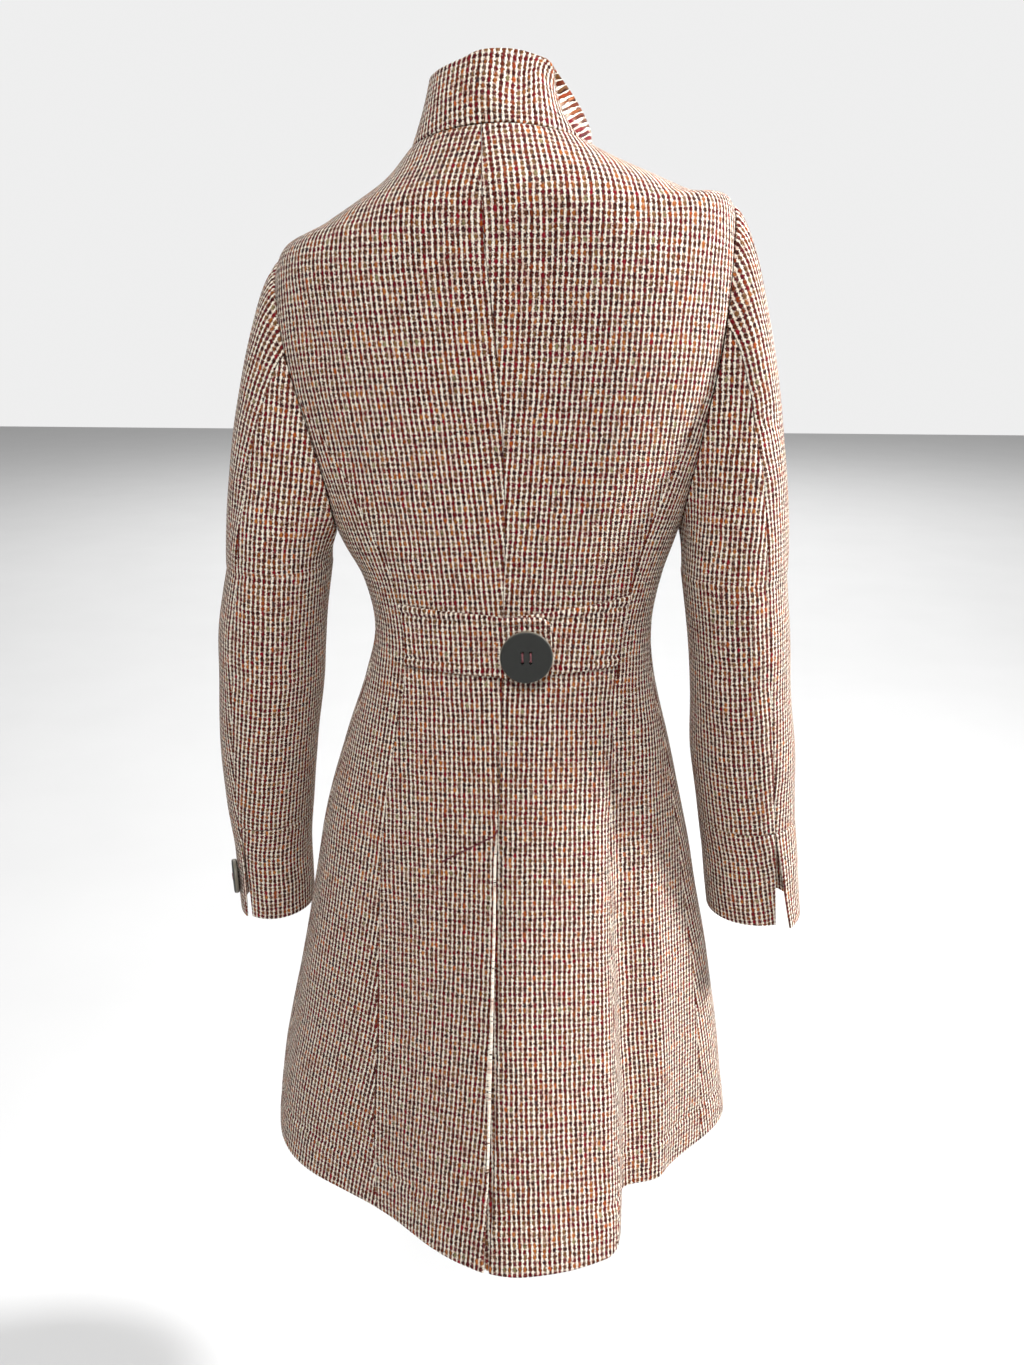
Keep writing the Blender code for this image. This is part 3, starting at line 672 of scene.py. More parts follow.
def linear(value: int) -> float:
    """A linear amount of light from a 0 to 255 display value."""
    v = value / 255
    return v / 12.92 if v <= 0.04045 else ((v + 0.055) / 1.055) ** 2.4


def rgb(red: int, green: int, blue: int) -> Colour:
    """A linear colour from the usual 0 to 255 display values."""
    return linear(red), linear(green), linear(blue)


@dataclass(frozen=True)
class Finish:
    """A finish that is made once and shared by all that wears it."""

    name: str = "finish"

    def surface(self, bench: Bench) -> bpy.types.Material:
        """Lays out the finish's nodes."""
        raise NotImplementedError

    def material(self) -> bpy.types.Material:
        """The finish's material, made when it is first asked for."""
        known = bpy.data.materials.get(self.name)
        return known or self.surface(Bench(bpy.data.materials.new(self.name)))


class Weave(NamedTuple):
    """Wires that tell where a point lies in the weave.

    nap and fluff are fine noises. Columns and rows count beads; x and y are places within a bead's
    cell, and odd is 1 in every second column or row. beside is the distance from the cord's middle
    and ringed the one from the bead's, which is 1 at its edge. cord, bar and bead are 1 on the yarns.
    """

    fluff: Wire
    nap: Wire
    across: Wire
    along: Wire
    column: Wire
    row: Wire
    odd_column: Wire
    odd_row: Wire
    shade: Wire
    swell: Wire
    beside: Wire
    ringed: Wire
    cord: Wire
    bar: Wire
    bead: Wire


@dataclass(frozen=True)
class TweedFinish(Finish):
    """The coarse tweed: cream cords with coloured beads of thick yarn between them.

    cord and bead are the metres from one to the next, and fine and broad are the scales of the
    noises that fray and bend them. The other sizes are shares of a cord or a bead.
    """

    name: str = "tweed_weave"
    cord: float = 0.00427
    bead: float = 0.00465
    fine: Pair = (700.0, 860.0)
    broad: Pair = (48.0, 52.0)
    wander: float = 0.42
    sway: float = 0.62
    fray: float = 0.78
    cord_middle: float = 0.24
    cord_half: float = 0.175
    cord_swell: float = 0.07
    bead_middle: Pair = (0.74, 0.5)
    bead_half: Pair = (0.38, 0.46)
    bead_change: Pair = (-0.10, 0.18)
    cord_edge: Pair = (-0.03, 0.035)
    bead_edge: Pair = (0.85, 1.15)
    bar_edge: Pair = (0.05, 0.17)
    bar_cover: Pair = (0.20, 0.48)
    cream: Colour = rgb(255, 248, 232)
    cream_shade: Colour = rgb(228, 166, 130)
    dark_ground: Colour = rgb(58, 13, 8)
    grey_ground: Colour = rgb(98, 50, 34)
    tinged: Colour = rgb(188, 124, 98)
    warmth: Colour = (1.0, 0.88, 0.79)
    wine_dark: Stops = (
        (0.0, rgb(132, 16, 34)),
        (0.40, rgb(86, 22, 20)),
        (0.58, rgb(116, 18, 42)),
        (0.78, rgb(158, 14, 44)),
        (0.86, rgb(76, 50, 58)),
        (0.95, rgb(170, 84, 44)),
    )
    wine_grey: Stops = (
        (0.0, rgb(114, 52, 58)),
        (0.32, rgb(118, 24, 44)),
        (0.54, rgb(68, 36, 40)),
        (0.76, rgb(130, 18, 34)),
        (0.93, rgb(150, 122, 104)),
        (0.97, rgb(196, 120, 60)),
    )
    earth_dark: Stops = (
        (0.0, rgb(124, 58, 26)),
        (0.36, rgb(76, 24, 18)),
        (0.50, rgb(160, 70, 28)),
        (0.68, rgb(122, 54, 24)),
        (0.84, rgb(198, 98, 38)),
        (0.975, rgb(200, 124, 62)),
    )
    earth_grey: Stops = (
        (0.0, rgb(142, 106, 68)),
        (0.36, rgb(100, 60, 46)),
        (0.56, rgb(182, 110, 56)),
        (0.74, rgb(120, 82, 64)),
        (0.86, rgb(202, 122, 56)),
        (0.975, rgb(160, 152, 112)),
    )

    def weave(self, bench: Bench) -> Weave:
        """Finds the yarns at each place of the flat cloth.

        Args:
            bench: Where the nodes are laid out.

        Returns:
            The wires that tell where a point lies in the weave.
        """
        flat = bench.add("ShaderNodeUVMap", {"uv_map": "Cloth"}, {})
        u, v = bench.part(flat, 0), bench.part(flat, 1)
        turned = bench.pair(v, u)
        ways = (flat, turned)
        fluff, nap = (bench.cloud(way, scale, 4.0) for way, scale in zip(ways, self.fine))
        wander, sway = (bench.cloud(way, scale, 3.0) - 0.5 for way, scale in zip(ways, self.broad))
        across = u / self.cord + wander * self.wander + (fluff - 0.5) * self.fray
        along = v / self.bead + sway * self.sway + (nap - 0.5) * self.fray
        column, row = across.floor(), along.floor()
        x, y = across - column, along - row
        odd_column = (column * 0.5 - (column * 0.5).floor()) * 2.0
        odd_row = (row * 0.5 - (row * 0.5).floor()) * 2.0
        swell = (along * (2 * math.pi)).maths("COSINE")
        beside = (x - self.cord_middle).maths("ABSOLUTE")
        cord = 1.0 - (beside - self.cord_half - swell * self.cord_swell).ease(*self.cord_edge)
        crossing = 1.0 - (0.5 - (y - 0.5).maths("ABSOLUTE")).ease(*self.bar_edge)
        bar = crossing * (self.bar_cover[0] + odd_column * self.bar_cover[1]) * nap.ease(0.34, 0.60)
        shade = bench.chance(bench.pair(row + 31.0, column))
        round_x, round_y = (
            (place - middle) / (half + shade * change)
            for place, middle, half, change in zip((x, y), self.bead_middle, self.bead_half, self.bead_change)
        )
        ringed = (round_x * round_x + round_y * round_y).maths("SQRT")
        bead = 1.0 - ringed.ease(*self.bead_edge)
        return Weave(
            fluff, nap, across, along, column, row, odd_column, odd_row, shade, swell, beside, ringed,
            cord, bar, bead)

    def bead_colour(self, bench: Bench, weave: Weave) -> Wire:
        """The coloured beads, which change from bead to bead and in runs along a row.

        Args:
            bench: Where the nodes are laid out.
            weave: Where a point lies in the weave.

        Returns:
            The colour.
        """
        draw = bench.chance(bench.pair(weave.column, weave.row))
        run = bench.cloud(bench.pair(weave.column * 0.11, weave.row * 7.3), 1.0, 0.0).ease(0.45, 0.75)
        choice = (draw * 0.86 + run * 0.34 * draw.ease(0.2, 0.5)).maths("MINIMUM", 0.999)
        wine, earth = (
            bench.blend(weave.odd_column, bench.ramp(choice, dark), bench.ramp(choice, grey))
            for dark, grey in ((self.wine_dark, self.wine_grey), (self.earth_dark, self.earth_grey))
        )
        colour = bench.blend(weave.odd_row, wine, earth)
        shaded = weave.shade * 0.5 + weave.fluff.ease(0.50, 0.32) * 0.6
        frosted = weave.nap.ease(0.56, 0.72) * (0.2 + weave.odd_column * 0.4)
        colour = bench.blend(shaded, colour, self.dark_ground)
        return bench.blend(frosted, colour, self.cream_shade)

    def colour(self, bench: Bench, weave: Weave) -> Wire:
        """The whole weave: the ground, its beads, the cream bars between them and the cords.

        Args:
            bench: Where the nodes are laid out.
            weave: Where a point lies in the weave.

        Returns:
            The colour.
        """
        ground = bench.blend(weave.odd_column, self.dark_ground, self.grey_ground)
        woven = bench.blend(weave.bead, ground, self.bead_colour(bench, weave))
        cream = bench.blend(weave.nap.ease(0.45, 0.8) * 0.55, self.cream, self.cream_shade)
        cell = bench.pair(weave.along.floor() + 57.0, (weave.across + 0.26).floor() + 11.0)
        cream = bench.blend(bench.chance(cell).ease(0.66, 1.0) * 0.4, cream, self.tinged)
        woven = bench.blend(weave.bar, woven, cream)
        woven = bench.add("ShaderNodeGamma", {}, {"Color": woven, "Gamma": 1.1})
        woven = bench.blend(0.5, woven, self.warmth, "MULTIPLY")
        return bench.blend(weave.cord, woven, cream)

    def height(self, weave: Weave) -> Wire:
        """How high the yarns stand: round cords and beads, low bars and a fluffy surface.

        Args:
            weave: Where a point lies in the weave.

        Returns:
            The height, as a share of the bump's distance.
        """
        cord_round = (1.0 - weave.beside * weave.beside * 12.0).maths("MAXIMUM", 0.0)
        bead_round = (1.0 - weave.ringed * weave.ringed).maths("MAXIMUM", 0.0)
        yarns = weave.cord * (0.7 + weave.swell * 0.2) * cord_round + weave.bead * bead_round * 0.75
        return yarns + weave.bar * 0.2 + (weave.fluff - 0.5) * 0.5

    def surface(self, bench: Bench) -> bpy.types.Material:
        """Matt woven wool with a faint sheen.

        Args:
            bench: Where the nodes are laid out.

        Returns:
            The material.
        """
        weave = self.weave(bench)
        return bench.shader({
            "Base Color": self.colour(bench, weave),
            "Roughness": 0.86 + weave.nap * 0.12,
            "Normal": bench.bump(self.height(weave), strength=0.8, distance=0.0012),
            "Specular IOR Level": 0.12,
            "Sheen Weight": 0.03,
            "Sheen Roughness": 0.5,
        })


@dataclass(frozen=True)
class ButtonFinish(Finish):
    """Matt charcoal plastic with a slightly polished rim, whose lighter colour is a painted highlight."""

    name: str = "button"
    face: Colour = rgb(38, 39, 37)
    mottle: Colour = rgb(48, 49, 46)
    # Painted highlight: the rounded rim is coloured lighter than the face, where its edge would shine.
    rim: Colour = rgb(122, 116, 102)
    radius: float = BIG_BUTTON / 2
    rim_band: Pair = (0.965, 0.99)

    def surface(self, bench: Bench) -> bpy.types.Material:
        """The finish for a button of this radius.

        Args:
            bench: Where the nodes are laid out.

        Returns:
            The material.
        """
        flat = bench.add("ShaderNodeUVMap", {"uv_map": "Face"}, {})
        away = bench.add("ShaderNodeVectorMath", {"operation": "LENGTH"}, {0: flat}, "Value")
        grain, broad = bench.cloud(flat, 900.0, 4.0), bench.cloud(flat, 120.0, 2.0)
        # rim marks the band of painted highlight, where the plastic is also less rough.
        rim = away.ease(*(self.radius * share for share in self.rim_band))
        face = bench.blend(broad * 0.35 + grain * 0.2, self.face, self.mottle)
        return bench.shader({
            "Base Color": bench.blend(rim * 0.8, face, self.rim),
            "Roughness": 0.58 - rim * 0.22 + (grain - 0.5) * 0.12,
            "Normal": bench.bump(grain, strength=0.25, distance=0.0002),
            "Specular IOR Level": 0.4,
        })


@dataclass(frozen=True)
class ThreadFinish(Finish):
    """Sewing thread of one colour, with the twist of its strands painted in light and shade; mauve on the
    buttons and the belt.
    """

    name: str = "thread"
    # Painted light on the crowns of the twisted strands, and painted shade in the grooves between them.
    light: Colour = rgb(150, 92, 96)
    dark: Colour = rgb(84, 36, 44)
    twist: Pair = (6000.0, 9000.0)

    def surface(self, bench: Bench) -> bpy.types.Material:
        """Painted light and shade of the strands that wind round the thread.

        Args:
            bench: Where the nodes are laid out.

        Returns:
            The material.
        """
        where = bench.add("ShaderNodeTexCoord", {}, {}, "Object")
        wound = bench.part(where, 2) * self.twist[1] + bench.part(where, 0) * self.twist[0]
        # strand is 1 on a painted-light crown of the twist and 0 in a painted-shade groove; it also drives
        # the bump.
        strand = wound.maths("SINE") * 0.5 + 0.5
        return bench.shader({
            "Base Color": bench.blend(strand, self.dark, self.light),
            "Roughness": 0.75,
            "Normal": bench.bump(strand, strength=0.4, distance=0.0002),
        })


@dataclass(frozen=True)
class FloorFinish(Finish):
    """A pale matt floor with a faint mottle."""

    name: str = "floor"
    darker: Colour = (0.62, 0.62, 0.62)
    lighter: Colour = (0.65, 0.65, 0.65)

    def surface(self, bench: Bench) -> bpy.types.Material:
        """Broad soft clouds of two near tones."""
        mottle = bench.cloud(bench.add("ShaderNodeTexCoord", {}, {}, "Object"), 3.0, 2.0)
        return bench.shader({"Base Color": bench.blend(mottle, self.darker, self.lighter), "Roughness": 0.9})


# Forms: the smooth surfaces that the cut pieces lie on


@dataclass(frozen=True)
class Form:
    """A surface with two coordinates, row and column, and the creases that it carries."""

    creases: tuple[Crease, ...] = ()
    row_step: float = 0.05
    column_step: float = 1.0
    facing: float = 1.0
    crease_spans: int = 12
    crease_bow: float = 0.06
    crease_fade: float = 0.7
    crease_ends: Pair = (0.02, 0.98)

    def bare(self, row: Array, column: Array) -> Array:
        """Points of the surface before its creases."""
        raise NotImplementedError

    def normal(self, row: Array, column: Array) -> Array:
        """The directions straight out of the cloth."""
        down = self.bare(row + self.row_step, column) - self.bare(row - self.row_step, column)
        across = self.bare(row, column + self.column_step) - self.bare(row, column - self.column_step)
        return unit(np.cross(across, down)) * self.facing

    def relief(self, points: Array) -> Array:
        """How far the creases push the cloth out.

        Args:
            points: Points of the surface.

        Returns:
            A distance for each point, below zero in a trough.
        """
        out = np.zeros(points.shape[:-1])
        spans = self.crease_spans
        share = np.linspace(0.0, 1.0, spans + 1)
        bowed = share + self.crease_bow * np.sin(math.pi * share)
        for crease in self.creases:
            rows = crease.row + (crease.end_row - crease.row) * share
            columns = crease.column + (crease.end_column - crease.column) * bowed
            path = self.bare(rows, columns)
            nearest = np.full(out.shape, 1.0)
            along = np.zeros(out.shape)
            for k in range(spans):
                run = path[k + 1] - path[k]
                part = np.clip(((points - path[k]) @ run) / (run @ run), 0.0, 1.0)
                away = np.linalg.norm(points - path[k] - part[..., None] * run, axis=-1)
                closer = away < nearest
                nearest = np.where(closer, away, nearest)
                along = np.where(closer, (k + part) / spans, along)
            fading = np.sin(math.pi * np.clip(along, *self.crease_ends)) ** self.crease_fade
            out += crease.depth * fading * bell(nearest, crease.width)
        return out


@dataclass(frozen=True)
class BodyForm(Form):
    """The body of the coat, by level and by angle from the centre back."""

    rings: tuple[Ring, ...] = RINGS
    flares: tuple[Flare, ...] = FLARES

    def column(self, name: str, level: Array) -> Array:
        """A named column of the ring table at any level."""
        return smooth([getattr(ring, name) for ring in self.rings], range(len(self.rings)), level)

    def flare(self, level: Array, angle: Array) -> Array:
        """How far the flare folds push the skirt out.

        Args:
            level: Levels of the body.
            angle: Angles from the centre back, in degrees.

        Returns:
            The distances, in metres.
        """
        out = np.zeros(np.broadcast(level, angle).shape)
        for fold in self.flares:
            apart = (angle - fold.angle + 180.0) % 360.0 - 180.0
            rise = np.clip((level - fold.first_level) / (HEM_LEVEL - fold.first_level), 0.0, None)
            wave = (1 + np.cos(math.pi * apart / fold.spread)) / 2
            out = out + np.where(abs(apart) < fold.spread, fold.depth * rise**fold.power * wave, 0.0)
        return out

    def bare(self, row: Array, column: Array) -> Array:
        """Points of the cloth's outer face before its creases.

        Args:
            row: Rows of the form.
            column: Columns of the form.

        Returns:
            The points there.
        """
        level, angle = np.asarray(row, float), np.asarray(column, float)
        turned = np.radians(angle + self.column("turn", level))
        across, along = np.sin(turned), np.cos(turned)
        wide = np.where(across > 0, self.column("left", level), self.column("right", level))
        deep = np.where(along > 0, self.column("back", level), self.column("front", level))
        end_z = np.where(along > 0, self.column("back_z", level), self.column("front_z", level))
        fullness = self.column("fullness", level)
        x = wide * across * (1 + fullness * along * along)
        y = deep * along * (1 + fullness * across * across)
        pushed = 1 + self.flare(level, angle) / np.hypot(x, y)
        x = x * pushed + self.column("middle_x", level)
        y = y * pushed + self.column("middle_y", level)
        side_z = self.column("side_z", level)
        z = side_z + (end_z - side_z) * along * along + self.column("lean", level) * x
        return stack(x, y, z)

    def degrees(self, level: Array, angle: Array, length: float) -> Array:
        """The angle that a short length along a level ring spans."""
        run = self.bare(level, np.asarray(angle) + 0.5) - self.bare(level, np.asarray(angle) - 0.5)
        return length / np.linalg.norm(run, axis=-1)


@dataclass(frozen=True)
class SleeveForm(Form):
    """One sleeve: rows 0 to 1 are its head, 1 to 2 the arm; columns go round it in 18 sides.

    The head leaves the armhole outward and downward. At the underarm it goes less far out, steeper
    down and with a shorter pull than at the shoulder tip.
    """

    side: Side = Side.LEFT
    body: BodyForm = field(default_factory=BodyForm)
    row_step: float = 0.02
    column_step: float = 0.25
    tip_way: Pair = (1.0, -0.28)
    low_change: Pair = (-0.65, -0.70)
    tip_pull: float = 0.075
    low_pull: float = 0.025
    arrival: float = 0.85
    clear_way: Pair = (0.9, -0.3)

    def ring(self, z: Array, turn: Array) -> Array:
        """Points of the arm's level sections.

        Args:
            z: Heights.
            turn: Places round the arm, in sides of 18.

        Returns:
            The points there.
        """
        table = [row._replace(z=-row.z) for row in SLEEVES[self.side]]
        angle = np.asarray(turn) * 2 * math.pi / SLEEVE_SIDES
        x = read(table, "z", "middle_x", -z)
        x = x + self.side.value * read(table, "z", "across", -z) * np.cos(angle)
        y = read(table, "z", "middle_y", -z) + read(table, "z", "deep", -z) * np.sin(angle)
        return stack(x, y, z)

    def armhole(self, turn: Array) -> Array:
        """Points of the armhole's edge, from the shoulder tip down the back and up the front.

        Args:
            turn: Places round the arm, in sides of 18.

        Returns:
            The points there.
        """
        place = np.asarray(turn, float) % SLEEVE_SIDES
        levels = [row.level for row in ARMHOLES]
        loop = levels + levels[-2:0:-1]
        stations = np.arange(-3, SLEEVE_SIDES + 4)
        level = smooth([loop[k % SLEEVE_SIDES] for k in stations], stations, place)
        level = np.clip(level, SHOULDER_LEVEL, UNDERARM_LEVEL)
        back = read(ARMHOLES, "level", "back", level)
        front = read(ARMHOLES, "level", "front", level)
        angle = np.where(place <= SLEEVE_SIDES / 2, back, front)
        return self.body.bare(level, self.side.value * angle)

    def head(self, share: Array, turn: Array) -> Array:
        """The sleeve head, from the armhole's edge over to the first level section.

        Args:
            share: The share of the way, from 0 at the armhole.
            turn: Places round the arm, in sides of 18.

        Returns:
            The points there.
        """
        side = self.side.value
        start = self.armhole(turn)
        end = self.ring(np.full(np.shape(turn), SLEEVES[self.side][0].z), turn)
        low = (1 - np.cos(2 * math.pi * np.asarray(turn) / SLEEVE_SIDES)) / 2
        out, down = (tip + change * low for tip, change in zip(self.tip_way, self.low_change))
        leave = unit(stack(side * out, 0.0, down))
        leave = leave * (self.tip_pull * (1 - low) + self.low_pull * low)[..., None]
        arrive = stack(0.0, 0.0, -self.arrival * np.linalg.norm(end - start, axis=-1))
        clear = np.array([side * self.clear_way[0], 0.0, self.clear_way[1]]) * ARMHOLE_GAP
        return bent(start, leave, end, arrive, np.asarray(share, float)[..., None]) + clear

    def bare(self, row: Array, column: Array) -> Array:
        """Points of the sleeve before its creases.

        Args:
            row: Rows of the form.
            column: Columns of the form.

        Returns:
            The points there.
        """
        row, column = np.broadcast_arrays(np.asarray(row, float), np.asarray(column, float))
        head = self.head(np.clip(row, -0.1, 1.0), column)
        top, foot = SLEEVES[self.side][0].z, CUFF_SEAM_Z[self.side] + SEAM_GAP
        arm = self.ring(top + (foot - top) * np.clip(row - 1.0, 0.0, 1.1), column)
        return np.where((row < 1.0)[..., None], head, arm)


@dataclass(frozen=True)
class CuffForm(Form):
    """A cuff band as an open strip: columns run from the flared flap round to the slit again."""

    side: Side = Side.LEFT
    sleeve: SleeveForm = field(default_factory=SleeveForm)
    row_step: float = 0.02
    column_step: float = 0.25
    flap_flare: tuple[float, ...] = (1.0, 0.6, 0.25, 0.0, 0.0)
    flap_columns: tuple[float, ...] = (0.0, 1.0, 2.0, 3.0, 19.0)
    tangent_reach: float = 0.2

    def bare(self, row: Array, column: Array) -> Array:
        """Points of the band; rows run from 0 at its seam to 1 at its end.

        Args:
            row: Rows of the form.
            column: Columns of the form.

        Returns:
            The points there.
        """
        row, column = np.broadcast_arrays(np.asarray(row, float), np.asarray(column, float))
        top, foot = CUFF_SEAM_Z[self.side] - SEAM_GAP, CUFF_END_Z[self.side]
        z = top + (foot - top) * row
        points = self.sleeve.ring(z, BACK_SEAM_SIDE - column)
        turns = np.arange(SLEEVE_SIDES)
        middle = self.sleeve.ring(z[..., None], turns).mean(axis=-2)
        flare = smooth(self.flap_flare, self.flap_columns, column)
        fallen = np.clip(row, 0.0, 1.1)
        points = points + unit(points - middle) * (CUFF_FLARE[self.side] * fallen * flare)[..., None]
        half = SEAM_GAP / 2 + SLIT_WIDTH[self.side] / 2 * fallen
        near = np.clip(1.0 - column, 0.0, 1.0) - np.clip(column - SLEEVE_SIDES + 1.0, 0.0, 1.0)
        turn, reach = BACK_SEAM_SIDE - column, self.tangent_reach
        along = unit(self.sleeve.ring(z, turn - reach) - self.sleeve.ring(z, turn + reach))
        return points + along * (half * near)[..., None]


@dataclass(frozen=True)
class CollarForm(Form):
    """The stand collar: rows from 0 at the seam to 1 at the top edge, columns by angle."""

    body: BodyForm = field(default_factory=BodyForm)
    row_step: float = 0.04
    column_step: float = 1.0
    facing: float = -1.0

    def bare(self, row: Array, column: Array) -> Array:
        """Points of the collar's outer face.

        Args:
            row: Rows of the form.
            column: Columns of the form.

        Returns:
            The points there.
        """
        row, angle = np.broadcast_arrays(np.asarray(row, float), np.asarray(column, float))
        foot = self.body.bare(np.zeros(angle.shape), angle)
        crease = stack(*(read(COLLAR, "angle", f"crease_{axis}", angle) for axis in "xyz"))
        top = stack(*(read(COLLAR, "angle", f"top_{axis}", angle) for axis in "xyz"))
        bend = 2 * crease - (foot + top) / 2
        t = row[..., None]
        lift = np.array([0.0, 0.0, SEAM_GAP * 1.5])
        return foot * (1 - t) ** 2 + bend * 2 * t * (1 - t) + top * t**2 + lift


# Cut pieces


@dataclass(frozen=True)
class Pattern:
    """The flat cut of a piece: its surface laid flat as cloth that keeps its lengths."""

    points: Array
    diagonal: float = 0.6

    def threads(self) -> tuple[Array, Array, Array]:
        """Pairs of neighbouring points, across, along and on both diagonals.

        Returns:
            The first point of each pair, the second one and the pair's weight.
        """
        rows, columns = self.points.shape[:2]
        index = np.arange(rows * columns).reshape(rows, columns)
        first = [index[:, :-1], index[:-1, :], index[:-1, :-1], index[:-1, 1:]]
        second = [index[:, 1:], index[1:, :], index[1:, 1:], index[1:, :-1]]
        weight = [1.0, 1.0, self.diagonal, self.diagonal]
        weights = np.concatenate([np.full(a.size, w) for a, w in zip(first, weight)])
        pairs = [np.concatenate([part.ravel() for part in end]) for end in (first, second)]
        return pairs[0], pairs[1], weights

    def lay_flat(self, rounds: int = 260) -> Array:
        """Lays the piece flat.

        Args:
            rounds: How often the threads are pulled back to their real lengths.

        Returns:
            The flat place of each point in metres, with the middle column upright.
        """
        rows, columns = self.points.shape[:2]
        middle = columns // 2
        steps = np.linalg.norm(np.diff(self.points, axis=1), axis=-1)
        across = np.concatenate([np.zeros((rows, 1)), np.cumsum(steps, axis=1)], axis=1)
        across -= across[:, middle : middle + 1]
        drops = np.linalg.norm(np.diff(self.points, axis=0), axis=-1)
        along = np.concatenate([np.cumsum(drops[::-1], axis=0)[::-1], np.zeros((1, columns))])
        flat = np.stack([across, along], axis=-1).reshape(-1, 2)
        first, second, weight = self.threads()
        solid = self.points.reshape(-1, 3)
        length = np.linalg.norm(solid[first] - solid[second], axis=-1)
        weight = weight / np.maximum(length, 1e-4)
        weight /= weight.mean()
        count = len(solid)
        pull = np.zeros((count, count))
        np.add.at(pull, (first, first), weight)
        np.add.at(pull, (second, second), weight)
        np.add.at(pull, (first, second), -weight)
        np.add.at(pull, (second, first), -weight)
        pull[middle, middle] += 1.0
        settle = np.linalg.inv(pull)
        for _ in range(rounds):
            run = unit(flat[first] - flat[second]) * (length * weight)[:, None]
            load = np.zeros((count, 2))
            np.add.at(load, first, run)
            np.add.at(load, second, -run)
            flat = settle @ load
        return flat.reshape(rows, columns, 2)


class Cut(NamedTuple):
    """A sampled piece: its outer and inner faces, its flat pattern, and its true outer area."""

    outer: Array
    inner: Array
    flat: Array
    area: float


@dataclass
class ClothPiece:
    """A cut piece of the cloth: a thin closed shell over its own solid.

    rows and columns count its steps, and edges are its first and last long edge, its top and its
    foot. The grain runs at a share of the width between two shares of the length.
    """

    name: str
    form: Form
    thickness: float = CLOTH
    rows: int = 120
    columns: int = 28
    edges: tuple[Edge, Edge, Edge, Edge] = (Edge.SEAM, Edge.SEAM, Edge.SEAM, Edge.FOLD)
    grain: Triple = (0.5, 0.05, 0.95)
    hangs_from: tuple[str, ...] = ()
    held: str = "hung"
    flat_rows: int = 28
    flat_columns: int = 11
    rim_steps: tuple[float, ...] = (0.0, 0.0003, 0.0008, 0.0016, 0.0030)
    rim_reach: float = 0.012
    rim_spacing: float = 1.4
    probes: tuple[int, int] = (25, 9)
    finish: TweedFinish = TweedFinish()

    def place(self, t: Array, s: Array) -> tuple[Array, Array, Array]:
        """Where a share of the piece's length and width lies on its form, and how far out."""
        raise NotImplementedError

    def dress(self, points: Array, t: Array, s: Array) -> Array:
        """Extra relief of this piece alone, such as a pressed line."""
        return np.zeros(points.shape[:-1])

    def relief(self, points: Array, t: Array, s: Array) -> Array:
        """All that pushes the cloth out: the form's creases, the piece's own relief and a ripple."""
        return self.form.relief(points) + self.dress(points, t, s) + self.unevenness(points)

    def surface(self, t: Array, s: Array) -> tuple[Array, Array]:
        """Points of the piece before its creases, and the directions out of it.

        Args:
            t: Shares of the piece's length.
            s: Shares of its width.

        Returns:
            The points and the directions.
        """
        row, column, lift = self.place(t, s)
        normal = self.form.normal(row, column)
        return self.form.bare(row, column) + normal * np.asarray(lift)[..., None], normal

    def stations(self, count: int, length: Array) -> Array:
        """Shares from 0 to 1, evenly spaced but closer at both ends, for each length.

        Args:
            count: How many even steps there are between the ends.
            length: The lengths that are to be divided, in metres.

        Returns:
            One row of shares for each length.
        """
        near = np.array(self.rim_steps)
        size = np.asarray(length, float)[:, None]
        scale = np.minimum(1.0, size / self.rim_reach)
        start = near[None, :] * scale / size
        inside = np.linspace(0.0, 1.0, count + 1)[None, 1:-1]
        rim = start[:, -1:] * self.rim_spacing
        inside = rim + (1 - 2 * rim) * inside
        return np.concatenate([start, inside, 1.0 - start[:, ::-1]], axis=1)

    def cut(self) -> Cut:
        """Samples the piece, rolls its edges, creases it and lays it flat.

        Returns:
            The piece's faces and its flat pattern.
        """
        probe_t, probe_s = (np.linspace(0.0, 1.0, count) for count in self.probes)
        coarse = self.surface(*np.meshgrid(probe_t, probe_s, indexing="ij"))[0]
        tall = np.linalg.norm(np.diff(coarse[:, len(probe_s) // 2], axis=0), axis=-1).sum()
        t = self.stations(self.rows, np.array([tall]))[0]
        widths = np.linalg.norm(np.diff(coarse, axis=1), axis=-1).sum(axis=1)
        s = self.stations(self.columns, smooth(widths, probe_t, t))
        spread_t = np.repeat(t[:, None], s.shape[1], axis=1)
        points, normal = self.surface(spread_t, s)
        flat = self.pattern(spread_t, s)
        roll, inner_roll = self.rolls(points)
        relief = self.relief(points, spread_t, s)
        outer = points + normal * (relief - roll)[..., None]
        inner = points + normal * (relief - self.thickness + inner_roll)[..., None]
        side_a = np.cross(outer[1:, :-1] - outer[:-1, :-1], outer[:-1, 1:] - outer[:-1, :-1])
        side_b = np.cross(outer[:-1, 1:] - outer[1:, 1:], outer[1:, :-1] - outer[1:, 1:])
        area = (np.linalg.norm(side_a, axis=-1).sum() + np.linalg.norm(side_b, axis=-1).sum()) / 2
        return Cut(outer, inner, flat, float(area))

    def guide(self, row: Array) -> tuple[Array, Array]:
        """The columns of the form between which the piece is laid flat, for each row."""
        share = self.share(row)
        return self.place(share, 0.0 * share)[1], self.place(share, 0.0 * share + 1.0)[1]

    def share(self, row: Array) -> Array:
        """The share of the piece's length at a row of its form."""
        first, last = (float(self.place(np.array([t]), np.array([0.5]))[0][0]) for t in (0.0, 1.0))
        return (np.asarray(row, float) - first) / (last - first)

    def pattern(self, t: Array, s: Array) -> Array:
        """Lays the form flat about the piece, turns it to its grain and reads it at each point.

        Args:
            t: Shares of the piece's length.
            s: Shares of its width.

        Returns:
            The flat place of each point in metres.
        """
        row, column, _ = self.place(t, s)
        rows = np.linspace(row.min(), row.max(), self.flat_rows)
        shares = np.linspace(0.0, 1.0, self.flat_columns)
        first, last = self.guide(rows)
        guides = first[:, None] + (last - first)[:, None] * shares
        flat = Pattern(self.form.bare(np.repeat(rows[:, None], len(shares), axis=1), guides)).lay_flat()

